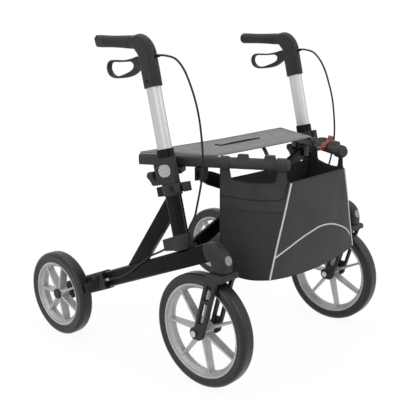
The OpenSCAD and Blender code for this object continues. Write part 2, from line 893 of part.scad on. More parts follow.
module clamp_knob() {
    shaft_end = tube_d / 2 + slide_gap;
    color(moulded_grey) on_upright(-knob_drop) rotate([-90, 0, 0]) {
        translate([0, 0, shaft_end]) cylinder(r = knob_shaft_r, h = housing_back + knob_neck - shaft_end + overrun);
        translate([0, 0, housing_back + part_gap]) cylinder(r = knob_neck_r, h = knob_neck);
        translate([0, 0, housing_back + knob_neck]) {
            cylinder(r = knob_r, h = knob_t);
            for (i = [0 : 2]) {
                rotate(90 + i * 120) translate([knob_reach, 0, 0]) cylinder(r = knob_lobe_r, h = knob_t);
            }
        }
    }
}

// bar_y is the plane of the cross bar whose upper end this yoke holds
module yoke(bar_y) {
    bridge = seat_z - rail_h - part_gap - pin_z - eye_r - frame_gap;
    cheek_y = bar_t / 2 + frame_gap + lug_t;
    color(moulded_grey) {
        translate([pin_x, bar_y, pin_z]) {
            cheeks(yoke_cheek_r, eye_r + frame_gap + bridge);
            translate([-yoke_cheek_r, -cheek_y, eye_r + frame_gap]) cube([2 * yoke_cheek_r, 2 * cheek_y, bridge]);
        }
        translate([pin_x, fold_y, pin_z + eye_r + frame_gap]) cylinder(r = stud_r, h = bridge + stud_l);
    }
}

module rail() {
    color(frame_black) difference() {
        union() {
            rail_bar(-rail_rear, rail_bar_start + rail_round) round_rect2d(rail_w, rail_h, rail_round);
            rail_bar(rail_bar_start, rail_front - rail_nose) circle(rail_bar_r);
            on_rail() translate([0, rail_nose - rail_front, 0]) rotate([90, 0, 0])
                cylinder(r1 = rail_bar_r, r2 = rail_nose_r, h = rail_nose);
            for (h = humps) {
                on_rail() side_plate(hump_w) polygon([
                    [-h[0], 0], [-h[0] - hump_slope, rail_bar_r + hump_h],
                    [-h[1] + hump_slope, rail_bar_r + hump_h], [-h[1], 0]
                ]);
            }
        }
        translate([pin_x, fold_y, seat_z - rail_h - overrun])
            cylinder(r = stud_r + run_gap, h = stud_l + overrun + part_gap);
    }
}

// Flat bar between the lower pivot on the right and the upper pivot on the left
module cross_bar(bar_y, hole_r) {
    color(frame_black) translate([-pivot_x, bar_y, pivot_z]) rotate([0, -bar_angle, 0]) rotate([90, 0, 0])
        linear_extrude(bar_t, center = true) difference() {
            union() {
                polygon([
                    [0, -eye_r], [bar_taper, -bar_w / 2], [bar_l - bar_taper, -bar_w / 2], [bar_l, -eye_r],
                    [bar_l, eye_r], [bar_l - bar_taper, bar_w / 2], [bar_taper, bar_w / 2], [0, eye_r]
                ]);
                circle(eye_r);
                translate([bar_l, 0]) circle(eye_r);
            }
            circle(pin_r + run_gap);
            translate([bar_l, 0]) circle(pin_r + run_gap);
            translate([bar_mid, 0]) circle(hole_r);
        }
}

cross_z = pivot_z + pivot_x * tan(bar_angle);

module cross_bolt() {
    color(steel) translate([0, fold_y, cross_z]) rotate([90, 0, 0]) {
        cylinder(r = bolt_shank_r, h = 2 * (bar_off + bar_t / 2 + part_gap), center = true);
        for (s = [-1, 1]) {
            translate([0, 0, s * (bar_off + bar_t / 2 + part_gap + bolt_head_h / 2)])
                cylinder(r = bolt_head_r, h = bolt_head_h, center = true);
        }
    }
}

module seat() {
    color(cloth_grey) translate([0, 0, seat_z + part_gap]) linear_extrude(seat_t) polygon([
        [-seat_back_w / 2, seat_back_y], [-seat_front_w / 2, seat_back_y - seat_d],
        [seat_front_w / 2, seat_back_y - seat_d], [seat_back_w / 2, seat_back_y]
    ]);
}

module pull_strap() {
    color(frame_black)
        translate([-strap_l / 2, seat_back_y - strap_back - strap_w, seat_z + seat_t + 2 * part_gap])
        cube([strap_l, strap_w, strap_t]);
}

module fold_clip() {
    color(clip_red) difference() {
        union() {
            rail_bar(clip_s, clip_s + clip_l) circle(clip_r);
            rail_bar(clip_s, clip_s + clip_l) translate([-clip_r - clip_wing / 2, -clip_wing / 2])
                square([2 * clip_r + clip_wing, clip_wing]);
        }
        rail_bar(clip_s - overrun, clip_s + clip_l + overrun) circle(rail_bar_r + part_gap);
        rail_bar(clip_s - overrun, clip_s + clip_l + overrun)
            translate([-2 * clip_r, -clip_wing / 2 - 2 * clip_r]) square([4 * clip_r, 2 * clip_r]);
    }
}

// Collar on the upright with a block behind it and an open ring for a cane's shaft in front
module cane_clip() {
    ring_w = upright_w + 2 * cane_collar;
    ring_d = upright_d + 2 * cane_collar;
    color(moulded_grey) on_upright(-cane_drop) difference() {
        union() {
            linear_extrude(cane_h) slot2d(ring_w, ring_d);
            linear_extrude(cane_block_h) translate([-cane_block_w / 2, 0])
                square([cane_block_w, ring_d / 2 + cane_block]);
            translate([0, 0, cane_h - cane_ring_h]) linear_extrude(cane_ring_h) {
                translate([cane_out - cane_block_w / 2, -cane_front]) square([cane_block_w, cane_front]);
                translate([cane_out, -cane_front]) circle(cane_r + cane_wall);
            }
        }
        translate([0, 0, -overrun]) linear_extrude(cane_h + 2 * overrun) {
            upright_outline(fit_gap);
            translate([cane_out, -cane_front]) circle(cane_r);
            translate([cane_out, -cane_front - cane_r / 2]) square([2 * cane_r, cane_r]);
        }
    }
}

// Cloth panel between corners
module panel(corners) {
    hull() {
        for (c = corners) {
            translate(c) sphere(d = bag_t, $fn = 12);
        }
    }
}

function rail_point(s) = [pin_x - s * sin(rail_angle), fold_y - s * cos(rail_angle)];

bag_back_y = bag_front_y + bag_d;
bag_bottom_z = bag_top_z - bag_h;
front_top = [bag_top_w / 2, bag_front_y, bag_top_z];
front_low = [bag_bottom_w / 2, bag_front_y + bag_lean, bag_bottom_z];
back_top = [bag_back_w / 2, bag_back_y, bag_top_z];
back_low = [bag_back_w / 2, bag_back_y, bag_bottom_z - bag_sag];
mid_top = [bag_t / 2 + part_gap / 2, bag_front_y, bag_top_z];
mid_low = [bag_t / 2 + part_gap / 2, bag_front_y - bag_belly, bag_bottom_z - bag_sag];

function edge_point(y) = front_top + (back_top - front_top) * (y - bag_front_y) / bag_d;

// Side of the bag with half of the front, hung on one rail by two loops
module bag_side() {
    color(bag_grey) {
        panel([front_top, front_low, back_top]);
        panel([back_low, front_low, back_top]);
        panel([front_top, front_low, mid_low]);
        panel([front_top, mid_top, mid_low]);
        for (s = loop_s) {
            panel([
                for (e = [-1, 1]) concat(rail_point(s + e * (loop_w - bag_t) / 2), [rail_z - rail_bar_r - loop_t]),
                for (e = [-1, 1]) edge_point(rail_point(s + e * (loop_w - bag_t) / 2)[1]) - [0, 0, bag_t]
            ]);
            rail_bar(s - loop_w / 2, s + loop_w / 2) difference() {
                circle(rail_bar_r + part_gap + loop_t);
                circle(rail_bar_r + part_gap);
            }
        }
    }
}

// Back and floor of the bag
module bag_back() {
    back_x = bag_back_w / 2 - bag_inset;
    front_x = bag_bottom_w / 2 - 2 * bag_inset;
    back_y = bag_back_y + bag_inset;
    floor_z = bag_bottom_z - bag_sag - bag_t / 2;
    color(bag_grey) translate([0, 0, floor_z]) {
        translate([-back_x, back_y - bag_t / 2, 0]) cube([2 * back_x, bag_t, bag_h + bag_sag + bag_t]);
        linear_extrude(bag_t) polygon([
            [-back_x, back_y], [-front_x, bag_front_y + bag_lean + 2 * bag_inset],
            [front_x, bag_front_y + bag_lean + 2 * bag_inset], [back_x, back_y]
        ]);
    }
}

// Smooth curve through the route's points
function curve(p, i, u) =
    let (a = p[max(i - 1, 0)], b = p[i], c = p[i + 1], d = p[min(i + 2, len(p) - 1)])
    b + u / 2 * ((c - a) + u * ((2 * a - 5 * b + 4 * c - d) + u * (3 * b - a - 3 * c + d)));

function unit(v) = v / norm(v);

cable_line = concat(
    [for (i = [0 : len(cable_route) - 2], k = [0 : cable_steps - 1]) curve(cable_route, i, k / cable_steps)],
    [cable_route[len(cable_route) - 1]]
);

function heading(i) =
    unit(cable_line[min(i + 1, len(cable_line) - 1)] - cable_line[max(i - 1, 0)]);

// Ring about the cable, square to its heading, with one axis kept near +X
function ring(i) =
    let (h = heading(i), v = unit(cross(h, [1, 0, 0])), w = cross(v, h))
    [for (k = [0 : cable_sides - 1])
        cable_line[i] + cable_d / 2 * (cos(360 * k / cable_sides) * w + sin(360 * k / cable_sides) * v)];

module brake_cable() {
    color(frame_black) skin([for (i = [0 : len(cable_line) - 1]) ring(i)]);
}

back_bar_y = fold_y + bar_off;
front_bar_y = fold_y - bar_off;

side("right") beam();  // right_beam
side("left") beam();  // left_beam
side("right") upright();  // right_upright
side("left") upright();  // left_upright
side("right") brace();  // right_brace
side("left") brace();  // left_brace
side("right") foot(back_bar_y);  // right_foot
side("left") foot(front_bar_y);  // left_foot
side("right") height_housing();  // right_height_housing
side("left") height_housing();  // left_height_housing
side("right") reflectors();  // right_reflectors
side("left") reflectors();  // left_reflectors
side("right") brake_housing();  // right_brake_housing
side("left") brake_housing();  // left_brake_housing
side("right") caster_head();  // right_caster_head
side("left") caster_head();  // left_caster_head
side("right") rear_axle();  // right_rear_axle
side("left") rear_axle();  // left_rear_axle
side("right") brake_cable();  // right_brake_cable
side("left") brake_cable();  // left_brake_cable
side("right") fork();  // right_fork
side("left") fork();  // left_fork
side("right") front_axle();  // right_front_axle
side("left") front_axle();  // left_front_axle
side("right") front_tyre();  // right_front_tyre
side("left") front_tyre();  // left_front_tyre
side("right") front_rim();  // right_front_rim
side("left") front_rim();  // left_front_rim
side("right") rear_tyre();  // right_rear_tyre
side("left") rear_tyre();  // left_rear_tyre
side("right") rear_rim();  // right_rear_rim
side("left") rear_rim();  // left_rear_rim
side("right") hub_cap();  // right_hub_cap
side("left") hub_cap();  // left_hub_cap
side("right") handle_tube();  // right_handle_tube
side("left") handle_tube();  // left_handle_tube
side("right") handle_shell();  // right_handle_shell
side("left") handle_shell();  // left_handle_shell
side("right") grip();  // right_grip
side("left") grip();  // left_grip
side("right") brake_lever();  // right_brake_lever
side("left") brake_lever();  // left_brake_lever
side("right") clamp_knob();  // right_clamp_knob
side("left") clamp_knob();  // left_clamp_knob
side("right") brake_arm();  // right_brake_arm
side("left") brake_arm();  // left_brake_arm
side("right") yoke(front_bar_y);  // right_yoke
side("left") yoke(back_bar_y);  // left_yoke
side("right") rail();  // right_rail
side("left") rail();  // left_rail
side("right") bag_side();  // right_bag_side
side("left") bag_side();  // left_bag_side
cross_bar(back_bar_y, bolt_shank_r + fit_gap);  // back_cross_bar
side("right") cross_bar(front_bar_y, bolt_shank_r + run_gap);  // front_cross_bar
cross_bolt();
seat();
pull_strap();
bag_back();
side("left") fold_clip();
side("right") cane_clip();
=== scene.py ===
import json
import math

import bmesh
import bpy
from mathutils import Matrix, Vector

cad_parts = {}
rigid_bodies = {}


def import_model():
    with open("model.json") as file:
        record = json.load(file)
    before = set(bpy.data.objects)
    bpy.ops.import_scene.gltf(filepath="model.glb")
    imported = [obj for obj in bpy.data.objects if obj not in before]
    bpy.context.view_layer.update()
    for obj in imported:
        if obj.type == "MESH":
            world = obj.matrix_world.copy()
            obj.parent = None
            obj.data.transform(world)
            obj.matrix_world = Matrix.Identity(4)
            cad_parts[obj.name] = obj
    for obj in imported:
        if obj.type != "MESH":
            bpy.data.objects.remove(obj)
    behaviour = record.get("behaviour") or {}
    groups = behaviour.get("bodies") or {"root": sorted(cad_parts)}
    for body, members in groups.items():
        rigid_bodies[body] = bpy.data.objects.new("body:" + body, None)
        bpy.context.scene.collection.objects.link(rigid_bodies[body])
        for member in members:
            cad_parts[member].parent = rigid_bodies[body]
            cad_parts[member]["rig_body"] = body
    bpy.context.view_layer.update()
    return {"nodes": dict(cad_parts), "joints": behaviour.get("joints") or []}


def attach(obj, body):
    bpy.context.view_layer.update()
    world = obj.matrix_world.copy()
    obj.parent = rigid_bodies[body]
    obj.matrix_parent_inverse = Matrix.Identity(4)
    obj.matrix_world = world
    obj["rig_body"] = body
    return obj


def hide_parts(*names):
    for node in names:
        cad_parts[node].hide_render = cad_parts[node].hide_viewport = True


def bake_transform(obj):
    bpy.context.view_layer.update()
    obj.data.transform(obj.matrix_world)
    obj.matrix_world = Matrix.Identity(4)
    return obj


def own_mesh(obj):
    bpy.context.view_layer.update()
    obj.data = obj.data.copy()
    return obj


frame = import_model()
nodes = frame["nodes"]
joints = {joint["name"]: joint for joint in frame["joints"]}
mm = 0.001  # the pieces are sized in mm, and the scene is in metres
upward = Vector((0, 0, 1))
sideSigns = {"right": -1, "left": 1}
print("frame loaded,", len(nodes), "nodes")


def jointPlace(name):  # where the frame has this joint, in mm
    return Vector(joints[name]["pos_m"]) / mm


def linear(hexText):  # sRGB hex to linear RGBA
    parts = [int(hexText[i : i + 2], 16) / 255 for i in (1, 3, 5)]
    lin = [c / 12.92 if c <= 0.04045 else ((c + 0.055) / 1.055) ** 2.4 for c in parts]
    return (*lin, 1.0)


def plug(tree, node, links):  # sources into a node's sockets
    for key, source in links.items():
        tree.links.new(source, node.inputs[key])


def addNode(tree, kind, settings, links):
    made = tree.nodes.new("ShaderNode" + kind)
    for key, value in settings.items():
        if key == "stops":  # places and hex colours along a ramp
            for element, (place, colour) in zip(made.color_ramp.elements, value):
                element.position = place
                element.color = linear(colour)
        elif isinstance(key, int) or key in made.inputs:
            made.inputs[key].default_value = value
        else:
            setattr(made, key, value)
    plug(tree, made, links)
    return made


def addGraph(tree, graph, made):  # nodes by name: their kind, settings, and feeds such as "cloud.Fac"
    for name, (kind, settings, feeds) in graph.items():
        links = {}
        for socket, feed in feeds.items():
            source, output = feed.split(".")
            links[socket] = made[source].outputs[output]
        made[name] = addNode(tree, kind, settings, links)


shaderEnds = {"tone": "Base Color", "rough": "Roughness", "bump": "Normal"}  # what these nodes feed
onObject, onCloth = {"Vector": "place.Object"}, {"Vector": "place.UV"}  # where a pattern lies


def makeMaterial(name, shaderSettings, graph):  # one shader, fed by the nodes of its graph
    material = bpy.data.materials.new(name)
    material.use_nodes = True
    tree = material.node_tree
    tree.nodes.clear()
    shader = addNode(tree, "BsdfPrincipled", shaderSettings, {})
    made = {"shader": shader, "place": addNode(tree, "TexCoord", {}, {})}
    addGraph(tree, graph, made)
    plug(tree, shader, {shaderEnds[key]: made[key].outputs[0] for key in shaderEnds if key in made})
    surface = made.get("surface", shader)
    addNode(tree, "OutputMaterial", {}, {"Surface": surface.outputs[0]})
    return material


def perMetre(size):  # noise scale for a grain of this size
    return 1 / size


def bandScale(spacing):  # wave scale for bands this far apart
    return 2 * math.pi / 20 / spacing


# Aluminium tube, powder coated black: a deep gloss with the faint orange peel of baked powder
frameBlack = makeMaterial("powderCoatedAluminium", {"Specular IOR Level": 0.1}, {
    "cloud": ("TexNoise", {"Scale": perMetre(60 * mm), "Detail": 4.0}, onObject),
    "peel": ("TexNoise", {"Scale": perMetre(3 * mm), "Detail": 2.0}, onObject),
    "tone": ("ValToRGB", {"stops": ((0.35, "#0d0d0d"), (0.75, "#161616"))}, {"Fac": "cloud.Fac"}),
    "rough": ("MapRange", {"To Min": 0.24, "To Max": 0.36}, {"Value": "cloud.Fac"}),
    "bump": ("Bump", {"Strength": 0.06, "Distance": 0.2 * mm}, {"Height": "peel.Fac"}),
})


# Glass filled nylon, injection moulded in an eroded tool: soft dark grey with a fine dry grain
def mouldedNylon(name, dark, light, smooth, dull):  # the real grain is 0.3 mm, drawn coarser to show
    return makeMaterial(name, {"IOR": 1.53, "Specular IOR Level": 0.25}, {
        "cloud": ("TexNoise", {"Scale": perMetre(45 * mm), "Detail": 3.0}, onObject),
        "grain": ("TexNoise", {"Scale": perMetre(1.6 * mm), "Detail": 3.0}, onObject),
        "tone": ("ValToRGB", {"stops": ((0.3, dark), (0.8, light))}, {"Fac": "cloud.Fac"}),
        "rough": ("MapRange", {"To Min": smooth, "To Max": dull}, {"Value": "grain.Fac"}),
        "bump": ("Bump", {"Strength": 0.12, "Distance": 0.15 * mm}, {"Height": "grain.Fac"}),
    })


housingNylon = mouldedNylon("mouldedNylon", "#262626", "#2f2f2f", 0.44, 0.58)
handleNylon = mouldedNylon("mouldedNylonHandle", "#2a2a2a", "#333333", 0.44, 0.58)
railNylon = mouldedNylon("mouldedNylonRail", "#353535", "#404040", 0.49, 0.63)
gripRubber = mouldedNylon("mouldedElastomer", "#292929", "#323232", 0.52, 0.66)  # softer, with the same grain

# Anodised aluminium, drawn and satin etched: pale silver with fine draw lines along the tube
tubeSilver = makeMaterial("anodisedAluminium", {"Metallic": 1.0}, {
    "along": ("Mapping", {"Scale": (1.0, 1.0, 0.02)}, onObject),
    "lines": ("TexNoise", {"Scale": perMetre(1.2 * mm), "Detail": 2.0}, {"Vector": "along.Vector"}),
    "tone": ("ValToRGB", {"stops": ((0.3, "#bbbcbd"), (0.7, "#c8c9ca"))}, {"Fac": "lines.Fac"}),
    "rough": ("MapRange", {"To Min": 0.48, "To Max": 0.6}, {"Value": "lines.Fac"}),
    "bump": ("Bump", {"Strength": 0.04, "Distance": 0.05 * mm}, {"Height": "lines.Fac"}),
})

# Zinc plated steel, turned and tumbled: bright grey bolts with a slight mottle
boltSteel = makeMaterial("zincPlatedSteel", {"Metallic": 1.0}, {
    "mottle": ("TexNoise", {"Scale": perMetre(4 * mm), "Detail": 5.0}, onObject),
    "tone": ("ValToRGB", {"stops": ((0.3, "#a9abad"), (0.7, "#c9cacb"))}, {"Fac": "mottle.Fac"}),
    "rough": ("MapRange", {"To Min": 0.25, "To Max": 0.45}, {"Value": "mottle.Fac"}),
})

# Foamed polyurethane tyre, moulded smooth: dull charcoal, a little paler in clouds
tyreFoam = makeMaterial("foamedPolyurethane", {"IOR": 1.5, "Specular IOR Level": 0.4}, {
    "cloud": ("TexNoise", {"Scale": perMetre(70 * mm), "Detail": 5.0}, onObject),
    "pores": ("TexVoronoi", {"Scale": perMetre(1.5 * mm)}, onObject),
    "tone": ("ValToRGB", {"stops": ((0.35, "#191919"), (0.8, "#242424"))}, {"Fac": "cloud.Fac"}),
    "rough": ("MapRange", {"To Min": 0.28, "To Max": 0.42}, {"Value": "cloud.Fac"}),
    "bump": ("Bump", {"Strength": 0.08, "Distance": 0.15 * mm}, {"Height": "pores.Distance"}),
})

# Polypropylene wheel, silver pigment in the melt: pale grey with a soft metallic bloom
rimGrey = makeMaterial("pigmentedPolypropylene", {"Metallic": 0.25, "IOR": 1.49}, {
    "flow": ("TexNoise", {"Scale": perMetre(40 * mm), "Detail": 4.0, "Distortion": 0.6}, onObject),
    "flake": ("TexVoronoi", {"Scale": perMetre(1.8 * mm)}, onObject),
    "tone": ("ValToRGB", {"stops": ((0.3, "#b9baba"), (0.7, "#cccdcd"))}, {"Fac": "flow.Fac"}),
    "rough": ("MapRange", {"To Min": 0.32, "To Max": 0.46}, {"Value": "flake.Distance"}),
})


# Acrylic reflector, pressed with fine prisms: pale grey with a diagonal hatch under a clear skin
def prismaticAcrylic(name, dark, pale):  # the real prisms are 2 mm, drawn coarser to show
    clearSkin = {"Coat Weight": 0.8, "Coat Roughness": 0.08, "Roughness": 0.35, "IOR": 1.49}
    return makeMaterial(name, clearSkin, {
        "turn": ("Mapping", {"Rotation": (math.radians(-45), 0.0, 0.0)}, onObject),
        "hatch": ("TexWave", {"bands_direction": "Y", "Scale": bandScale(6 * mm)}, {"Vector": "turn.Vector"}),
        "tone": ("ValToRGB", {"stops": ((0.25, dark), (0.55, pale))}, {"Fac": "hatch.Fac"}),
        "bump": ("Bump", {"Strength": 0.2, "Distance": 0.3 * mm}, {"Height": "hatch.Fac"}),
    })


reflectorPale = prismaticAcrylic("prismaticAcrylic", "#8f8f8f", "#cacaca")
reflectorDull = prismaticAcrylic("prismaticAcrylicNose", "#888888", "#959595")

# ABS, moulded in a polished tool: deep red with a gloss that varies a little over the clip
clipRed = makeMaterial("polishedAbs", {"IOR": 1.54}, {
    "flow": ("TexNoise", {"Scale": perMetre(14 * mm), "Detail": 3.0}, onObject),
    "tone": ("ValToRGB", {"stops": ((0.3, "#7c2024"), (0.7, "#96262b"))}, {"Fac": "flow.Fac"}),
    "rough": ("MapRange", {"To Min": 0.22, "To Max": 0.4}, {"Value": "flow.Fac"}),
})


# Polyester, woven and dyed: a plain weave of crossing threads, matt with a soft sheen at a low angle
def wovenPolyester(name, dark, light, thread, sheen):
    matt = {"Sheen Weight": sheen, "Sheen Roughness": 0.5, "Roughness": 0.85, "Specular IOR Level": 0.3}
    weaveShare = 0.35  # how much of the tone comes from the weave
    return makeMaterial(name, matt, {
        "warp": ("TexWave", {"bands_direction": "X", "Scale": bandScale(thread)}, onCloth),
        "weft": ("TexWave", {"bands_direction": "Y", "Scale": bandScale(thread)}, onCloth),
        "cross": ("Math", {"operation": "MULTIPLY"}, {0: "warp.Fac", 1: "weft.Fac"}),
        "cloud": ("TexNoise", {"Scale": perMetre(35 * mm), "Detail": 4.0}, onObject),
        "both": ("Math", {"operation": "MULTIPLY_ADD", 1: weaveShare}, {0: "cross.Value", 2: "cloud.Fac"}),
        "tone": ("ValToRGB", {"stops": ((0.3, dark), (0.95, light))}, {"Fac": "both.Value"}),
        "bump": ("Bump", {"Strength": 0.25, "Distance": 0.25 * mm}, {"Height": "cross.Value"}),
    })


seatCloth = wovenPolyester("wovenPolyesterSeat", "#7f8080", "#959696", 1.8 * mm, 0.1)
bagCloth = wovenPolyester("wovenPolyesterBag", "#393939", "#464646", 1.6 * mm, 0.15)
liningCloth = wovenPolyester("wovenPolyesterLining", "#1d1d1d", "#282828", 1.6 * mm, 0.1)
webbing = wovenPolyester("wovenWebbing", "#2a2a2a", "#383838", 2.4 * mm, 0.15)
threadGrey = wovenPolyester("spunThreadGrey", "#8a8b8b", "#a0a1a1", 0.8 * mm, 0.1)
threadBlack = wovenPolyester("spunThreadBlack", "#191919", "#232323", 0.8 * mm, 0.1)

# Polyester spacer mesh, warp knitted: raised diagonal cords over a darker open ground
cordGap = 5 * mm  # the real cords are 3 mm apart, drawn coarser to show
crossShare = 0.4  # how much the cross stitches stand out beside the cords
openKnit = {"Roughness": 0.8, "Sheen Weight": 0.15, "Specular IOR Level": 0.3}
bagMesh = makeMaterial("knittedSpacerMesh", openKnit, {
    "turn": ("Mapping", {"Rotation": (0.0, 0.0, math.radians(50))}, onCloth),
    "cords": ("TexWave", {"bands_direction": "X", "Scale": bandScale(cordGap)}, {"Vector": "turn.Vector"}),
    "cross": ("TexWave", {"bands_direction": "Y", "Scale": bandScale(cordGap)}, {"Vector": "turn.Vector"}),
    "knit": ("Math", {"operation": "MULTIPLY_ADD", 1: crossShare}, {0: "cross.Fac", 2: "cords.Fac"}),
    "tone": ("ValToRGB", {"stops": ((0.25, "#242424"), (0.7, "#404040"))}, {"Fac": "knit.Value"}),
    "bump": ("Bump", {"Strength": 0.5, "Distance": 0.8 * mm}, {"Height": "knit.Value"}),
})

# PVC, extruded over a steel cord: smooth near black jacket with a low gloss
cableJacket = makeMaterial("extrudedPvc", {"IOR": 1.53, "Specular IOR Level": 0.25}, {
    "draw": ("TexNoise", {"Scale": perMetre(8 * mm), "Detail": 2.0}, onObject),
    "tone": ("ValToRGB", {"stops": ((0.3, "#151515"), (0.7, "#202020"))}, {"Fac": "draw.Fac"}),
    "rough": ("MapRange", {"To Min": 0.35, "To Max": 0.5}, {"Value": "draw.Fac"}),
})

# Bead tape, woven with glass beads: light grey piping that looks a little milky
pipingGrey = makeMaterial("beadedPiping", {"Roughness": 0.5, "Coat Weight": 0.2}, {
    "beads": ("TexVoronoi", {"Scale": perMetre(2 * mm)}, onObject),
    "tone": ("ValToRGB", {"stops": ((0.1, "#efefef"), (0.6, "#dcdcdc"))}, {"Fac": "beads.Distance"}),
})
print("materials made,", len(bpy.data.materials))


def addPiece(mesh, material, body, replaces=(), sharp=40):  # named for its mesh
    piece = bpy.data.objects.new(mesh.name, mesh)
    bpy.context.scene.collection.objects.link(piece)
    mesh.materials.append(material)
    mesh.polygons.foreach_set("use_smooth", [True] * len(mesh.polygons))
    mesh.set_sharp_from_angle(angle=math.radians(sharp))
    if body:
        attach(piece, body)
    if replaces:
        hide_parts(*replaces)
    return piece


def recolour(piece, material, isThere):  # another material on the faces where the test holds
    piece.data.materials.append(material)
    index = len(piece.data.materials) - 1
    for polygon in piece.data.polygons:
        if isThere(polygon):
            polygon.material_index = index


def meshFrom(name, vertices, faces):
    mesh = bpy.data.meshes.new(name)
    mesh.from_pydata([tuple(v) for v in vertices], [], faces)
    bm = bmesh.new()
    bm.from_mesh(mesh)
    bmesh.ops.recalc_face_normals(bm, faces=bm.faces)
    bm.to_mesh(mesh)
    bm.free()
    return mesh


def skin(name, rings):  # a skin over rings of points, capped at both ends
    count = len(rings[0])
    vertices = [p for ring in rings for p in ring]
    faces = []
    for i in range(len(rings) - 1):
        for k in range(count):
            a, b = i * count + k, i * count + (k + 1) % count
            faces.append((a, b, b + count, a + count))
    faces.append(tuple(range(count)))
    faces.append(tuple((len(rings) - 1) * count + k for k in range(count)))
    return meshFrom(name, vertices, faces)


def joinMeshes(name, meshes):
    bm = bmesh.new()
    for mesh in meshes:
        bm.from_mesh(mesh)
    joined = bpy.data.meshes.new(name)
    bm.to_mesh(joined)
    bm.free()
    for mesh in meshes:
        bpy.data.meshes.remove(mesh)
    return joined


def smoothLine(points, steps, closed=False):  # a curve through the points
    points = [Vector(p) for p in points]
    n = len(points)
    line = []
    for i in range(n if closed else n - 1):
        near = [i + k for k in (-1, 0, 1, 2)]
        a, b, c, d = (points[k % n if closed else min(max(k, 0), n - 1)] for k in near)
        for k in range(steps):
            u = k / steps
            bend = (2 * a - 5 * b + 4 * c - d) + u * (3 * b - a - 3 * c + d)
            line.append(b + u / 2 * ((c - a) + u * bend))
    if not closed:
        line.append(points[-1])
    return line


def pointAt(line, share):  # the place at this share of a line's steps
    k = min(len(line) - 2, int(share * (len(line) - 1)))
    return line[k].lerp(line[k + 1], share * (len(line) - 1) - k)


def tube(name, line, radius, sides):  # a round cord along a line, its ring carried on without twist
    rings = []
    turns = [2 * math.pi * k / sides for k in range(sides)]
    across = (line[1] - line[0]).orthogonal()
    for i, point in enumerate(line):
        heading = (line[min(i + 1, len(line) - 1)] - line[max(i - 1, 0)]).normalized()
        across = (across - heading * across.dot(heading)).normalized()
        beside = heading.cross(across)
        rings.append([point + radius * (math.cos(a) * across + math.sin(a) * beside) for a in turns])
    return skin(name, rings)


def lathe(name, profile, centre, segments):  # a section of (radius, along X) turned about the axle
    count = len(profile)
    vertices, faces = [], []
    for i in range(segments):
        angle = 2 * math.pi * i / segments
        ahead = (i + 1) % segments
        for r, along in profile:
            vertices.append(Vector((along, r * math.cos(angle), r * math.sin(angle))) + centre)
        for k in range(count):
            beside = (k + 1) % count
            faces.append((i * count + k, i * count + beside, ahead * count + beside, ahead * count + k))
    return meshFrom(name, vertices, faces)


finishing = {"weld": 2e-6, "flat": 0.5, "edge": 32, "segments": 3, "sharp": 34}  # metres and degrees


def finishNode(node, width, material):  # the node's shape with its edges rounded off by so many mm
    mesh = nodes[node].data.copy()
    mesh.name = node + "_finished"
    mesh.materials.clear()
    bm = bmesh.new()
    bm.from_mesh(mesh)
    bmesh.ops.remove_doubles(bm, verts=bm.verts, dist=finishing["weld"])
    flat, least = math.radians(finishing["flat"]), math.radians(finishing["edge"])
    bmesh.ops.dissolve_limit(bm, angle_limit=flat, verts=bm.verts, edges=bm.edges)
    edges = [e for e in bm.edges if len(e.link_faces) == 2 and e.calc_face_angle(0) > least]
    bmesh.ops.bevel(bm, geom=edges, offset=width * mm, offset_type="OFFSET", segments=finishing["segments"],
                    profile=0.5, affect="EDGES", clamp_overlap=True)
    bm.to_mesh(mesh)
    bm.free()
    body = nodes[node]["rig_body"]
    return addPiece(mesh, material, body, [node], finishing["sharp"])


sideRounds = {  # edge radius in mm and finish for each kind of hard piece
    "beam": (0.6, frameBlack), "upright": (0.5, frameBlack), "brace": (1.2, frameBlack),
    "rail": (1.6, railNylon), "foot": (2.5, housingNylon), "height_housing": (1.6, housingNylon),
    "brake_housing": (2.0, railNylon), "caster_head": (1.2, handleNylon), "fork": (2.2, handleNylon),
    "clamp_knob": (2.2, housingNylon), "brake_arm": (1.0, handleNylon), "yoke": (1.4, housingNylon),
    "hub_cap": (1.8, housingNylon), "reflectors": (0.6, reflectorPale), "rear_axle": (0.5, boltSteel),
    "front_axle": (1.2, boltSteel), "handle_tube": (0.4, tubeSilver),
}
middleRounds = {
    "back_cross_bar": (1.2, frameBlack), "front_cross_bar": (1.2, frameBlack),
    "cross_bolt": (1.4, boltSteel), "fold_clip": (0.8, clipRed), "cane_clip": (1.2, housingNylon),
}
noseY = -200  # the reflectors in front of this sit on the caster heads, with a duller lens
finished = {}
for side in sideSigns:
    for kind, (width, finish) in sideRounds.items():
        finished[f"{side}_{kind}"] = finishNode(f"{side}_{kind}", width, finish)
    recolour(finished[f"{side}_reflectors"], reflectorDull, lambda polygon: polygon.center.y < noseY * mm)
for node, (width, finish) in middleRounds.items():
    finished[node] = finishNode(node, width, finish)
print("hard pieces finished")

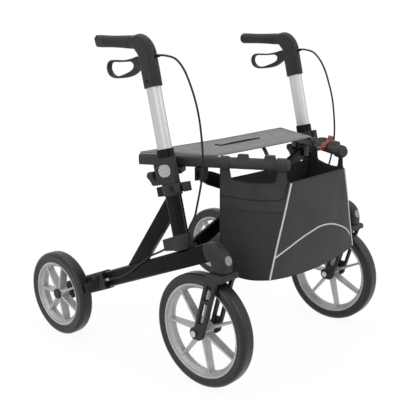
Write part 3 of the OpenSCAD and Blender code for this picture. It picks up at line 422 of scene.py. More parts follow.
# Wheels: smooth foam tyre, stepped rim ring, blade spokes and a ribbed hub
wheels = {
    "front": {"w": 40, "rimR": 118, "hubIn": 22, "hubOut": 22, "lip": 2},
    "rear": {"w": 38, "rimR": 97, "hubIn": 15, "hubOut": 13, "lip": 7.5},
    "segments": 128, "hubSegments": 48, "seatGap": 0.4, "flangeGap": 0.2, "hook": 1.2, "lipT": 0.6,
    "lipRound": (1, 0.7), "mouldLine": ((4, 0.5), (5, 0.5), (5.4, 0.1)), "shoulder": 10.5, "crown": (0.1, 2),
    "rimHalf": 17, "rimEdge": ((0.6, 0), (0.1, 1)),  # in from the rim's radius and from its flange
    "rimRing": ((14, 4.5), (13.2, 6.4), (6.2, 11.8), (5.4, 14), (5.2, 15.6), (4, 16.8), (1.4, 17)),
    "hubR": 15.6, "hubBore": 6.2, "hubEnd": ((3, 0), (1.5, 1.2), (1.5, 4), (0, 5)),
    "spokes": 7, "spokeTurn": 12, "spokeW": (26, 21), "spokeT": (7.5, 5), "spokeThins": 1.6,
    "spokeEdge": 1.2, "spokeSink": 3, "spokeShort": 9, "spokeSteps": 6,
}


def bothSides(right):  # a half section and its mirror image, in metres
    return [(r * mm, a * mm) for r, a in right + [(r, -a) for r, a in reversed(right)]]


def tyreProfile(w, wheelR):
    half, shoulder = w["w"] / 2, wheels["shoulder"]
    inner = w["rimR"] + wheels["seatGap"]
    flange, lip = wheels["rimHalf"] + wheels["flangeGap"], inner - w["lip"]  # a thin lip covers the flange
    rise, inset = wheels["lipRound"]
    right = [(inner, flange - wheels["hook"]), (inner, flange), (lip, flange),
             (lip, flange + wheels["lipT"]), (lip + rise, half - inset)]
    right += [(inner + r, half - inset) for r, inset in wheels["mouldLine"]]
    for turn in range(90, 0, -10):  # rounded shoulder
        a = math.radians(turn)
        right.append((wheelR - shoulder + shoulder * math.cos(a), half - shoulder + shoulder * math.sin(a)))
    right.append((wheelR - wheels["crown"][0], half - shoulder - wheels["crown"][1]))
    section = bothSides(right)
    section.insert(len(right), (wheelR * mm, 0))
    return section


def rimProfile(w):
    ringR = w["rimR"] - w["lip"]
    right = [(ringR - deep, across) for deep, across in wheels["rimRing"]]
    right += [(w["rimR"] - deep, wheels["rimHalf"] - inset) for deep, inset in wheels["rimEdge"]]
    return bothSides(right)


def hubProfile(w, sign):  # its outer end faces away from the frame
    r, bore, inner, outer = wheels["hubR"], wheels["hubBore"], -w["hubIn"], w["hubOut"]
    points = [(bore, inner)] + [(r - deep, inner + inset) for deep, inset in wheels["hubEnd"]]
    points += [(r - deep, outer - inset) for deep, inset in reversed(wheels["hubEnd"])] + [(bore, outer)]
    return [(p * mm, sign * q * mm) for p, q in points]


def spokeMesh(w, angle, centre):
    inner, outer = wheels["hubR"] - wheels["spokeSink"], w["rimR"] - wheels["spokeShort"]
    edge, steps = wheels["spokeEdge"], wheels["spokeSteps"]
    turn = Matrix.Rotation(angle, 3, "X")
    rings = []
    for k in range(steps + 1):
        share = k / steps
        r = inner + (outer - inner) * share
        thin = min(1, share * wheels["spokeThins"])
        halfW = (wheels["spokeW"][0] + (wheels["spokeW"][1] - wheels["spokeW"][0]) * share) / 2
        halfT = (wheels["spokeT"][0] + (wheels["spokeT"][1] - wheels["spokeT"][0]) * thin) / 2
        corner = [(halfW, edge - halfT), (halfW, halfT - edge), (halfW - edge, halfT), (edge - halfW, halfT)]
        outline = corner + [(-along, -across) for along, across in corner]
        rings.append([turn @ (Vector((along, across, r)) * mm) + centre for along, across in outline])
    return skin("spoke", rings)


def wheelPieces(side, sign, end):
    w = wheels[end]
    axle = jointPlace(f"{side}_{end}_roll")
    centre, body = axle * mm, f"{side}_{end}_wheel"
    tyre = lathe(f"{side}_{end}_tyre_moulded", tyreProfile(w, axle.z), centre, wheels["segments"])
    addPiece(tyre, tyreFoam, body, [f"{side}_{end}_tyre"], sharp=50)
    parts = [lathe("ring", rimProfile(w), centre, wheels["segments"]),
             lathe("hub", hubProfile(w, sign), centre, wheels["hubSegments"])]
    for k in range(wheels["spokes"]):
        parts.append(spokeMesh(w, math.radians(wheels["spokeTurn"] + 360 * k / wheels["spokes"]), centre))
    rim = joinMeshes(f"{side}_{end}_rim_moulded", parts)
    addPiece(rim, rimGrey, body, [f"{side}_{end}_rim"], sharp=35)


for side, sign in sideSigns.items():
    for end in ("front", "rear"):
        wheelPieces(side, sign, end)
print("wheels built")

# Handle: a shell that sleeves over the tube and bends back into the grip
upright = {"spot": jointPlace("left_height"), "axis": Vector(joints["left_height"]["axis"])}
upright["lean"] = math.atan2(upright["axis"].y, upright["axis"].z)
shell = {
    "foot": 164, "footEdge": ((1.2, 3), (0.2, 1), (0.2, 0.4), (1.2, 0), (30, 0)),  # above it, and inset
    "bendFoot": 236, "bendLead": 8, "bendR": 40, "width": 30, "depth": 50, "narrowing": 0.035, "sides": 56,
    "depthShares": (1, 1, 0.995, 0.985, 0.97, 0.95, 0.9, 0.8, 0.66), "grooveTurn": 22.5, "grooveDepth": 1.4,
    "seam": ((4, 0.985), (8, 0.955), (13.4, 0.93), (14, 0.9)),  # behind the bend, and share of its outline
}


def onUpright(x, back, along):  # place beside the upright: outward, behind and along its axis
    sine, cosine = math.sin(upright["lean"]), math.cos(upright["lean"])
    return Vector((x, upright["spot"].y + along * sine + back * cosine,
                   upright["spot"].z + along * cosine - back * sine))


def besideUpright(point):  # how far behind and along the upright's axis a point lies, in mm
    sine, cosine = math.sin(upright["lean"]), math.cos(upright["lean"])
    away = point / mm - upright["spot"]
    return away.y * cosine - away.z * sine, away.y * sine + away.z * cosine


def shellOutline(width, depth):  # stadium with a parting groove down each side of its front
    ring = []
    for k in range(shell["sides"]):
        a = 2 * math.pi * (k + 0.5) / shell["sides"]
        x = width / 2 * math.cos(a)
        y = width / 2 * math.sin(a) + math.copysign((depth - width) / 2, math.sin(a))
        turn = math.degrees(math.asin(-math.sin(a)))  # towards the front from the side
        if abs(turn - shell["grooveTurn"]) < 180 / shell["sides"]:
            x -= math.copysign(shell["grooveDepth"], x)
        ring.append((x, y))
    return ring


def shellMesh(name, sign):
    middleX, bend, r = upright["spot"].x, shell["bendFoot"], shell["bendR"]
    stations = [(shell["foot"] + above, inset) for above, inset in shell["footEdge"]]
    stations.append((bend - shell["bendLead"], 0))
    rings = []
    for along, inset in stations:
        outline = shellOutline(shell["width"] - 2 * inset, shell["depth"] - 2 * inset)
        rings.append([onUpright(sign * (middleX + x), y, along) for x, y in outline])
    for i, depthShare in enumerate(shell["depthShares"]):
        share = i / (len(shell["depthShares"]) - 1)
        a = (math.pi / 2 - upright["lean"]) * share
        narrow = 1 - shell["narrowing"] * share ** 2
        outline = shellOutline(shell["width"] * narrow, shell["depth"] * depthShare)
        rings.append([onUpright(sign * (middleX + x), r * (1 - math.cos(a)) + y * math.cos(a),
                                bend + r * math.sin(a) - y * math.sin(a)) for x, y in outline])
    last = rings[-1]
    middle = sum(last, Vector((0, 0, 0))) / len(last)
    for back, share in shell["seam"]:
        rings.append([Vector((middle.x + (p.x - middle.x) * share, p.y + back,
                              middle.z + (p.z - middle.z) * share)) for p in last])
    return skin(name, [[p * mm for p in ring] for ring in rings])


grip = {
    "length": 144, "start": 14.1, "r": 14.3, "waist": 0.7, "waistEnd": 0.8, "swell": 0.5, "rise": 0.6,
    "collar": 0.03, "collarIn": 0.3, "tall": 0.1, "roundFrom": 0.93, "roundLeast": 0.02,
    "rings": 30, "sides": 48, "ridgeSteps": 11,
    "facetFrom": 0.7, "facetOut": 1.02, "facetCut": 0.42, "facetLean": 0.3,  # palm rest on the outer side
    "ridgeR": 1.6, "ridgeT": (0.66, 0.97), "ridgeTurn": (-8, 70), "ridgeEase": 0.8, "ridgeLift": 0.2,
}


def gripPoint(sign, t, a, lift=0.0):  # t along the grip, a round it from the outer side upwards
    bend = onUpright(0, shell["bendR"], shell["bendFoot"])  # centre of the bend
    r = grip["r"] - grip["waist"] * math.sin(math.pi * min(1, t / grip["waistEnd"])) + grip["swell"] * t
    r -= grip["collarIn"] if t < grip["collar"] else 0
    end = max(0.0, (t - grip["roundFrom"]) / (1 - grip["roundFrom"]))
    r = r * math.sqrt(max(grip["roundLeast"], 1 - end * end)) + lift
    tall = 1 + grip["tall"] * (1 - min(1, 2 * t))  # a little taller than wide where it leaves the shell
    x, z = r * math.cos(a), r * math.sin(a) * tall
    facet = max(0.0, (t - grip["facetFrom"]) / (1 - grip["facetFrom"]))
    flat = grip["r"] * (grip["facetOut"] - grip["facetCut"] * facet) + grip["facetLean"] * facet * z
    x = min(x, flat + lift)
    y = bend.y + grip["start"] + (grip["length"] - grip["start"]) * t
    return Vector((sign * (upright["spot"].x + x), y, bend.z + shell["bendR"] + z + grip["rise"] * t)) * mm


def gripMesh(name, sign):
    turns = [2 * math.pi * k / grip["sides"] for k in range(grip["sides"])]
    rings = [[gripPoint(sign, k / grip["rings"], a) for a in turns] for k in range(grip["rings"] + 1)]
    (t0, t1), (low, high), steps = grip["ridgeT"], grip["ridgeTurn"], grip["ridgeSteps"]
    ridge = []
    for k in range(steps + 1):  # the ridge climbs from the outer side to the top of the end
        share = k / steps
        turn = math.radians(low + (high - low) * share ** grip["ridgeEase"])
        ridge.append(gripPoint(sign, t0 + (t1 - t0) * share, turn, grip["ridgeLift"]))
    return joinMeshes(name, [skin("body", rings), tube("ridge", ridge, grip["ridgeR"] * mm, sides=8)])


lever = {  # outline of the loop from its pivot, behind and up, in mm
    "outer": [(-6, 5), (8, 10), (22, 10), (36, 6), (50, 3), (66, 0.5), (85, -0.5), (104, -0.5), (116, -1.5),
              (124, -5.5), (129, -12), (130.5, -20), (128, -30), (121, -38), (110, -42.5), (97, -44),
              (77, -42.5), (57, -39.5), (40, -34.5), (27, -27.5), (17, -20.5), (6, -16), (-6, -10)],
    "inner": [(104, -5), (85, -5), (66, -4), (50, -2.5), (40, -3.5), (34, -8), (33.5, -14), (38, -20),
              (50, -26.5), (64, -31.5), (80, -36.5), (94, -38.8), (106, -38), (115, -34), (121.5, -27),
              (124, -19), (121.5, -11), (115, -6.5)],
    "width": 13, "round": 1.3, "roundSteps": 3, "lineSteps": 4, "weld": 1e-6,
}


def leverCurve():  # the flat outline with its loop cut out, thickened and rounded
    curve = bpy.data.curves.new("leverOutline", "CURVE")
    curve.dimensions = "2D"
    curve.fill_mode = "BOTH"
    curve.extrude = (lever["width"] / 2 - lever["round"]) * mm
    curve.bevel_depth = lever["round"] * mm
    curve.bevel_resolution = lever["roundSteps"]
    curve.offset = -lever["round"] * mm
    for key in ("outer", "inner"):
        line = smoothLine([(y * mm, z * mm, 0) for y, z in lever[key]], lever["lineSteps"], True)
        spline = curve.splines.new("POLY")
        spline.points.add(len(line) - 1)
        for point, spot in zip(spline.points, line):
            point.co = (spot.x, spot.y, 0, 1)
        spline.use_cyclic_u = True
    return curve


def leverMesh(name, side):
    curve = leverCurve()
    holder = bpy.data.objects.new("leverOutline", curve)
    bpy.context.scene.collection.objects.link(holder)
    bpy.context.view_layer.update()
    mesh = bpy.data.meshes.new_from_object(holder.evaluated_get(bpy.context.evaluated_depsgraph_get()))
    bpy.data.objects.remove(holder)
    bpy.data.curves.remove(curve)
    mesh.name = name
    mesh.materials.clear()
    pivot = Vector([round(c, 1) for c in jointPlace(f"{side}_brake_squeeze")]) * mm  # to a tenth of a mm
    mesh.transform(Matrix(((0, 0, 1, pivot.x), (1, 0, 0, pivot.y), (0, 1, 0, pivot.z), (0, 0, 0, 1))))
    bm = bmesh.new()
    bm.from_mesh(mesh)
    bmesh.ops.remove_doubles(bm, verts=bm.verts, dist=lever["weld"])
    bmesh.ops.recalc_face_normals(bm, faces=bm.faces)
    bm.to_mesh(mesh)
    bm.free()
    return mesh


for side, sign in sideSigns.items():
    body = f"{side}_handle"
    mesh = shellMesh(f"{side}_handle_shell_moulded", sign)
    addPiece(mesh, handleNylon, body, [f"{side}_handle_shell"], sharp=30)
    mesh = gripMesh(f"{side}_grip_moulded", sign)
    addPiece(mesh, gripRubber, body, [f"{side}_grip"], sharp=24)
    mesh = leverMesh(f"{side}_brake_lever_moulded", side)
    addPiece(mesh, housingNylon, f"{side}_lever", [f"{side}_brake_lever"])
print("handles built")

# Small fittings: shell screw, cable gland, a pale bead along the upright as painted highlight, ferrule at the
# brake, dark cords in the cane clip's slots as painted shade
fittings = {
    "screw": (295, 2.5, 179),  # outward, behind the upright's axis and along it
    "screwHead": [(0.05, 0.3), (1.3, 0.3), (1.5, 0.9), (3.2, 0.9), (3.6, 0.5), (3.6, -1), (0.05, -1)],
    "slot": ((280, -88.6, 776), (280, -87.6, 779.5), (280, -86.2, 783)), "slotR": 2.0,
    "gland": ((280, -90, 769), (279.2, -95, 770), (278.6, -101, 771.2)), "glandR": 3.6,
    # bead: a lighter grey cord on the upright's rounded front edge, a painted highlight of its gloss
    "bead": (281, -21.3), "beadR": 1.6, "beadEnds": (-192, -60), "beadSteps": 6,
    "ferrule": ((293, 86, 190.2), (293, 91, 188.3), (293, 98, 185.6)), "ferruleR": 4.0,
    # caneSlots: black cords where the clip has slits, painted shade in the slits
    "collarFoot": 2, "caneSlots": (-21, -15, -9.5), "caneX": 297.2, "caneEnds": (-82, -66), "caneR": 1.1,
    "caneBlock": 24,
}


def onSide(sign, points):  # places written for the left side, in metres on either
    return [Vector((sign * x, y, z)) * mm for x, y, z in points]


def shellFittings(side, sign):
    x, back, along = fittings["screw"]
    head = [(r * mm, sign * a * mm) for r, a in fittings["screwHead"]]
    mesh = lathe(f"{side}_shell_screw", head, onUpright(sign * x, back, along) * mm, segments=24)
    addPiece(mesh, frameBlack, f"{side}_handle")
    parts = []
    for key in ("slot", "gland"):
        parts.append(tube(key, onSide(sign, fittings[key]), fittings[key + "R"] * mm, sides=14))
    mesh = joinMeshes(f"{side}_cable_gland", parts)
    addPiece(mesh, frameBlack, f"{side}_handle", sharp=50)


def frameFittings(side, sign):
    (x, back), (low, high), steps = fittings["bead"], fittings["beadEnds"], fittings["beadSteps"]
    line = [onUpright(sign * x, back, low + (high - low) * k / steps) * mm for k in range(steps + 1)]
    # lighter nylon on the black upright: painted highlight along its front edge
    mesh = tube(f"{side}_upright_bead", line, fittings["beadR"] * mm, sides=10)
    addPiece(mesh, railNylon, f"{side}_frame", sharp=60)
    line = onSide(sign, fittings["ferrule"])
    mesh = tube(f"{side}_cable_ferrule", line, fittings["ferruleR"] * mm, sides=16)
    addPiece(mesh, boltSteel, f"{side}_frame", sharp=50)
    recolour(finished[f"{side}_height_housing"], frameBlack,  # the guide collar above it is a black part
             lambda polygon: besideUpright(polygon.center)[1] > fittings["collarFoot"])


for side, sign in sideSigns.items():
    shellFittings(side, sign)
    frameFittings(side, sign)
# Black cords in the cane clip's slits: painted shade
parts = []
for back in fittings["caneSlots"]:
    line = [onUpright(-fittings["caneX"], back, along) * mm for along in fittings["caneEnds"]]
    parts.append(tube("slot", line, fittings["caneR"] * mm, sides=8))
addPiece(joinMeshes("cane_clip_slots", parts), frameBlack, "right_frame", sharp=60)
recolour(finished["cane_clip"], frameBlack,  # its block behind the upright is a black part
         lambda polygon: besideUpright(polygon.center)[0] > fittings["caneBlock"])
print("fittings added")

# Brake cables: fixed at the brake, bowed forward under the handle
cable = {
    "d": 5, "steps": 5,
    "route": [
        (280, -91, 769), (278, -106, 772), (275, -122, 771), (273, -145, 766), (272, -163, 753),
        (272, -178, 735), (272, -191, 712), (271, -202, 686), (271, -212, 658), (271, -219, 630),
        (271, -223, 606), (271, -226, 582), (271, -228, 558), (271, -228, 534), (271, -226, 510),
        (271, -222, 486), (271, -216, 460), (270, -209, 436), (268, -201, 412), (265, -190, 395),
        (261, -178, 380), (256, -168, 366), (253.5, -158, 355), (253, -147, 347), (253, -135, 340),
        (253.5, -122, 331), (255, -111, 321.5), (259, -102, 312), (265, -93, 304), (272, -84, 297.5),
        (280, -75, 292.5), (287, -65, 286), (291, -54, 276), (292, -40, 265), (292, -25, 253.5),
        (292.5, -8, 239.5), (293, 10, 226), (293, 40, 208.5), (293, 69, 196.5), (293, 98, 185.5),
    ],
    "bend": ((272, -205, 430), (280, -91, 769)),  # the ends of the cable's bend along its route
}
for side, sign in sideSigns.items():
    line = smoothLine(onSide(sign, cable["route"]), cable["steps"])
    mesh = tube(f"{side}_brake_cable_jacket", line, cable["d"] / 2 * mm, sides=14)
    piece = addPiece(mesh, cableJacket, None, [f"{side}_brake_cable"], sharp=60)
    start, end = onSide(sign, cable["bend"])
    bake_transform(piece)
print("cables laid")


def sheetMesh(name, surface, cloth, thick):  # a cloth of this thickness over surface(u, v)
    across, along = cloth["grid"]
    step = 1e-3  # for the slope of the surface
    top, low = [], []
    for j in range(along + 1):
        for i in range(across + 1):
            u, v = i / across, j / along
            p = surface(u, v)
            du = surface(min(1, u + step), v) - surface(max(0, u - step), v)
            dv = surface(u, min(1, v + step)) - surface(u, max(0, v - step))
            normal = du.cross(dv).normalized()
            top.append(p + normal * thick / 2)
            low.append(p - normal * thick / 2)
    n, row = len(top), across + 1
    faces = []
    for j in range(along):
        for i in range(across):
            a = j * row + i
            faces.append((a, a + 1, a + row + 1, a + row))
            faces.append((n + a, n + a + row, n + a + row + 1, n + a + 1))
    edge = [(i, i + 1) for i in range(across)]
    edge += [(j * row + across, (j + 1) * row + across) for j in range(along)]
    edge += [(along * row + i + 1, along * row + i) for i in reversed(range(across))]
    edge += [((j + 1) * row, j * row) for j in reversed(range(along))]
    faces += [(b, a, n + a, n + b) for a, b in edge]
    mesh = bpy.data.meshes.new(name)
    mesh.from_pydata([tuple(p) for p in top + low], [], faces)
    layer = mesh.uv_layers.new(name="threads")
    width, length = cloth["threads"]  # thread coordinates in metres
    for loop in mesh.loops:
        k = loop.vertex_index % n
        layer.data[loop.index].uv = (k % row / across * width, k // row / along * length)
    return mesh


stitch = {"pitch": 4.5, "r": 0.45, "reach": 0.62, "flat": 0.6, "rise": 0.4, "sides": 6}


def stitches(line, normal, pitch=stitch["pitch"], r=stitch["r"]):  # short threads along a seam
    half = pitch / 2 * mm
    travelled, k = 0.0, 0
    spots = [line[0]]
    for a, b in zip(line, line[1:]):
        span = (b - a).length
        while travelled + span >= half * (k + 1):
            k += 1
            spots.append(a + (b - a) * ((half * k - travelled) / span))
        travelled += span
    parts = []
    lift = normal * r * mm
    for a, b in zip(spots[::2], spots[1::2]):
        middle = (a + b) / 2 + lift
        reach = (b - a) * stitch["reach"]
        flat, rise = reach * stitch["flat"], lift * stitch["rise"]
        thread = [middle - reach, middle - flat + rise, middle + flat + rise, middle + reach]
        parts.append(tube("thread", thread, r * mm, stitch["sides"]))
    return joinMeshes("stitches", parts)


# Seat: a cloth stretched between the rails, hemmed, with a flat pull strap sewn on
seat = {
    "backHalf": 283, "frontHalf": 195, "backY": -34, "depth": 169, "z": 541.8, "thick": 3, "sag": 2.5,
    "sagEase": 1.5, "sagEnds": 0.75, "ripple": (0.3, 9, 4), "keep": 0.435, "anchor": (-217, -168, 540),
    "cloth": {"grid": (56, 20), "threads": (0.49, 0.169), "cut": (0.57, 0.18)},
    "hemR": 0.3, "longHems": (9, 13), "endHems": (10, 14), "backHem": 260, "frontHem": 180, "hemStep": 20,
    "endHemV": (0.04, 0.96), "endHemSteps": 12,
}
# edge: faces on the strap's sides steeper than this get painted shade
strap = {
    "half": 80, "y": -104.5, "w": 21, "thick": 2.8, "gap": 0.2, "arch": 2.2, "edge": 0.7, "sewnAt": 0.46,
    "sewnV": (0.1, 0.5, 0.9), "sewnLift": 1.2, "sewnPitch": 3,
    "cloth": {"grid": (32, 4), "threads": (0.16, 0.021), "cut": (0.165, 0.0235)},
}


def seatHalf(v):  # half its width at this share of its depth
    return seat["backHalf"] + (seat["frontHalf"] - seat["backHalf"]) * v


def seatPoint(u, v):
    middle = 2 * u - 1
    height, acrossTurns, alongTurns = seat["ripple"]
    hollow = (1 - middle ** 2) ** seat["sagEase"]
    hollow *= seat["sagEnds"] + (1 - seat["sagEnds"]) * math.sin(math.pi * v)
    ripple = height * math.sin(acrossTurns * u + alongTurns * v) * (1 - middle ** 4)
    return Vector((middle * seatHalf(v), seat["backY"] - seat["depth"] * v,
                   seat["z"] - seat["sag"] * hollow + ripple)) * mm


def seatAt(x, y, lift=0.0):  # the upper side of the seat over x, y
    v = (seat["backY"] - y) / seat["depth"]
    return seatPoint((x / seatHalf(v) + 1) / 2, v) + upward * (seat["thick"] / 2 + lift) * mm


def strapPoint(u, v):
    x, y = (2 * u - 1) * strap["half"], strap["y"] + (0.5 - v) * strap["w"]
    return seatAt(x, y, strap["thick"] / 2 + strap["gap"] + strap["arch"] * math.sin(math.pi * u))


def foldWithSeat(piece):
    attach(piece, "right_yoke_body")
    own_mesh(piece)


def hemThreads():
    parts, r = [], seat["hemR"]
    frontY = seat["backY"] - seat["depth"]
    for inset in seat["longHems"]:
        for reach, y in ((seat["backHem"], seat["backY"] - inset), (seat["frontHem"], frontY + inset)):
            line = [seatAt(x, y) for x in range(-reach, reach + 1, seat["hemStep"])]
            parts.append(stitches(line, upward, r=r))
    first, last = seat["endHemV"]
    shares = [first + (last - first) * k / seat["endHemSteps"] for k in range(seat["endHemSteps"] + 1)]
    for sign in (-1, 1):
        for inset in seat["endHems"]:
            line = [seatAt(sign * (seatHalf(v) - inset), seat["backY"] - seat["depth"] * v) for v in shares]
            parts.append(stitches(line, upward, r=r))
        line = [strapPoint(0.5 + sign * strap["sewnAt"], v) + upward * strap["sewnLift"] * mm
                for v in strap["sewnV"]]
        parts.append(stitches(line, upward, strap["sewnPitch"]))
    return joinMeshes("seat_hem_threads", parts)


mesh = sheetMesh("seat_panel", seatPoint, seat["cloth"], seat["thick"] * mm)
piece = addPiece(mesh, seatCloth, None, ["seat"], sharp=50)
foldWithSeat(piece)
mesh = sheetMesh("pull_strap_band", strapPoint, strap["cloth"], strap["thick"] * mm)
piece = addPiece(mesh, seatCloth, None, ["pull_strap"], sharp=50)
recolour(piece, threadBlack, lambda polygon: abs(polygon.normal.z) < strap["edge"])  # the strap's sides are painted dark: painted shade along its raised edges
foldWithSeat(piece)
foldWithSeat(addPiece(hemThreads(), threadGrey, None, sharp=60))
print("seat sewn")

# Bag: an open cloth shell hung on the rails, smooth front with piping, mesh on its lower sides
bag = {
    "thick": 1.8, "topZ": 486, "lowZ": 267,
    "split": 0.0002,  # the front's halves stop just short of the middle
    "frontTopHalf": 114, "frontLowHalf": 181, "frontY": -360, "frontSag": 11, "cornerBack": 5,
    "belly": 7, "bellyEnd": 0.9, "lowBelly": 4, "frontWave": (0.8, 7, 5),
    "backX": 191, "backY": -211, "backLowZ": 259, "backTaper": 3, "outward": (0.88, -0.47),
    "sideSag": 9, "sideBulge": 9, "bulgeTop": 0.15, "lowBulge": 2, "sideWave": (0.9, 11, 6),
    "window": (0.14, 0.86), "windowDip": 5, "strapU": ((-0.02, 0.13), (0.815, 0.92)), "strapLift": 28,
    "strapFillet": 0.014, "strapFoot": 0.05, "meshFrom": 0.3, "inside": -0.3,
    "frontCloth": {"grid": (24, 32), "threads": (0.15, 0.22), "cut": (0.185, 0.235)},
    "flankCloth": {"grid": (96, 40), "threads": (0.165, 0.225), "cut": (0.185, 0.245)},
}
rail = {"pin": jointPlace("left_rail_swing"), "angle": 28.3, "r": 13.5}
facing = Vector((0, -1, 0))  # the way the bag's front looks


def railSpot(sign, s):  # the rail's axis so far in front of its pin
    a = math.radians(rail["angle"])
    return Vector((sign * (rail["pin"].x - s * math.sin(a)), rail["pin"].y - s * math.cos(a), rail["pin"].z))


def railFrame(sign):  # along the rail and across it
    along = (railSpot(sign, 1) - railSpot(sign, 0)).normalized()
    return along, upward.cross(along)


def outward(sign):  # the way a flank looks
    return Vector((sign * bag["outward"][0], bag["outward"][1], 0))


def frontHalf(v):
    return bag["frontTopHalf"] + (bag["frontLowHalf"] - bag["frontTopHalf"]) * v


def frontPoint(sign, u, v):  # u from the middle to the corner, v from the top down
    u = max(bag["split"], u)
    height, acrossTurns, downTurns = bag["frontWave"]
    belly = bag["belly"] * math.sin(math.pi * min(1, v * bag["bellyEnd"])) * (1 - u * u)
    belly += bag["lowBelly"] * v * (1 - u ** 4)
    wave = height * math.sin(acrossTurns * u * u + downTurns * v) * math.sin(math.pi * v)
    low = bag["lowZ"] - bag["frontSag"] * (1 - u * u)
    return Vector((sign * u * frontHalf(v), bag["frontY"] - belly - wave + bag["cornerBack"] * v * u * u,
                   bag["topZ"] + (low - bag["topZ"]) * v))


def sidePoint(sign, u, v):  # u from the back edge to the front corner
    taper, drop = bag["backTaper"] * v, (bag["backLowZ"] - bag["topZ"]) * v
    back = Vector((sign * (bag["backX"] - taper), bag["backY"] + taper, bag["topZ"] + drop))
    arch = math.sin(math.pi * u)
    full = math.sin(math.pi * min(1, bag["bulgeTop"] + v * (1 - bag["bulgeTop"])))
    bulge = arch * (bag["sideBulge"] * full + bag["lowBulge"] * v)
    height, alongTurns, downTurns = bag["sideWave"]
    wave = height * math.sin(alongTurns * u - downTurns * v) * arch * v
    start, end = bag["window"]
    dip = bag["windowDip"] * math.sin(math.pi * min(1, max(0, (u - start) / (end - start)))) * (1 - v) ** 3
    away = min(max(a - u, u - b, 0) for a, b in bag["strapU"])  # how far from the nearer strap
    lift = bag["strapLift"] * math.exp(-away / bag["strapFillet"]) * max(0, 1 - v / bag["strapFoot"])
    spot = back.lerp(frontPoint(sign, 1, v), u) + outward(sign) * (bulge + wave)
    return spot + upward * (lift - dip - bag["sideSag"] * arch * v * v)


def alongEdge(point, count, lift=Vector((0, 0, 0))):
    return [(point(k / count) + lift) * mm for k in range(count + 1)]


def bagPanels(side, sign):
    def fromRight(u):  # both panels run so that their outer face looks outward
        return 1 - u if sign > 0 else u

    body = f"{side}_rail_body"
    mesh = sheetMesh(f"{side}_bag_front", lambda u, v: frontPoint(sign, fromRight(u), v) * mm,
                     bag["frontCloth"], bag["thick"] * mm)
    piece = addPiece(mesh, bagCloth, body, [f"{side}_bag_side"], sharp=50)
    mesh = sheetMesh(f"{side}_bag_flank", lambda u, v: sidePoint(sign, fromRight(u), v) * mm,
                     bag["flankCloth"], bag["thick"] * mm)
    piece = addPiece(mesh, bagCloth, body, [f"{side}_bag_side"], sharp=50)
    meshTop = bag["topZ"] + (bag["lowZ"] - bag["topZ"]) * bag["meshFrom"]
    recolour(piece, bagMesh, lambda polygon: polygon.center.z < meshTop * mm)
    recolour(piece, liningCloth, lambda polygon: polygon.normal.dot(outward(sign)) < bag["inside"])


collar = {"places": (61, 194), "half": 10, "gap": 0.3, "r": 3, "grooveR": 2.2, "edge": (2, 1.5),
          "grooves": ((-4.5, -1), (1, 4.5)), "slope": 1, "segments": 40}


def collarProfile():  # ribbed, round the rail
    half, outer, groove = collar["half"], rail["r"] + collar["r"], rail["r"] + collar["grooveR"]
    inner, (edge, inset) = rail["r"] + collar["gap"], collar["edge"]
    points = [(inner, -half), (rail["r"] + edge, -half), (outer, inset - half)]
    for start, end in collar["grooves"]:
        low, high = start + collar["slope"], end - collar["slope"]
        points += [(outer, start), (groove, low), (groove, high), (outer, end)]
    points += [(outer, half - inset), (rail["r"] + edge, half), (inner, half)]
    return [(r * mm, a * mm) for r, a in points]


def bagCollars(side, sign):  # they hold the bag's straps on the rail
    along, across = railFrame(sign)
    parts = []
    for s in collar["places"]:
        turned = lathe("collar", collarProfile(), Vector((0, 0, 0)), collar["segments"])
        turned.transform(Matrix((along, across, upward)).transposed().to_4x4())
        turned.transform(Matrix.Translation(railSpot(sign, s) * mm))
        parts.append(turned)
    mesh = joinMeshes(f"{side}_bag_collars", parts)
    addPiece(mesh, railNylon, f"{side}_rail_body", sharp=35)


piping = {
    "r": 2.1, "bowR": 1.89, "cornerLift": 0.8, "bowLift": 1.2, "steps": 30, "bowSteps": 8,
    "bow": [(-166, 0.776), (-126, 0.69), (-68, 0.6), (-16, 0.547), (0, 0.541), (34, 0.552), (70, 0.593),
            (111, 0.67), (141, 0.752), (159, 0.83)],  # across from the middle, and share of the way down
}


def bagPiping(side, sign):  # down the front corner and in one bow across the front
    lift = (facing + outward(sign)) / 2 * piping["cornerLift"]
    corner = alongEdge(lambda v: frontPoint(sign, 1, v), piping["steps"], lift)
    bow = []
    for x, v, _ in smoothLine([(x, v, 0) for x, v in piping["bow"]], piping["bowSteps"]):
        if x * sign >= 0:
            u = min(1, x * sign / frontHalf(v))
            bow.append((frontPoint(sign, u, v) + facing * piping["bowLift"]) * mm)
    mesh = joinMeshes(f"{side}_bag_piping", [tube("corner", corner, piping["r"] * mm, sides=10),
                                             tube("bow", bow, piping["bowR"] * mm, sides=10)])
    addPiece(mesh, pipingGrey, f"{side}_rail_body", sharp=60)


sewing = {
    "bind": {"frontTop": (20, 1.7), "window": (96, 1.4), "backEdge": (24, 1.7), "lowFront": (20, 1.6),
             "lowFlank": (24, 1.6)},  # steps along each bound edge, and radius
    "flap": [(0.02, 0.172), (0.2, 0.175), (0.5, 0.178), (0.8, 0.18), (0.9, 0.172), (0.945, 0.14),
             (0.955, 0.08), (0.957, 0)], "flapLift": 1.1, "flapR": 1.1, "flapSteps": 6,
    "seamU": (0.02, 0.98), "seamLift": 1, "seamSteps": 30,
}


def bagBinding(side, sign):
    edges = {
        "frontTop": lambda u: frontPoint(sign, u, 0), "window": lambda u: sidePoint(sign, u, 0),
        "backEdge": lambda v: sidePoint(sign, 0, v), "lowFront": lambda u: frontPoint(sign, u, 1),
        "lowFlank": lambda u: sidePoint(sign, u, 1),
    }
    parts = []
    for name, (steps, r) in sewing["bind"].items():
        parts.append(tube(name, alongEdge(edges[name], steps), r * mm, sides=8))
    mesh = joinMeshes(f"{side}_bag_binding", parts)
    addPiece(mesh, webbing, f"{side}_rail_body", sharp=60)


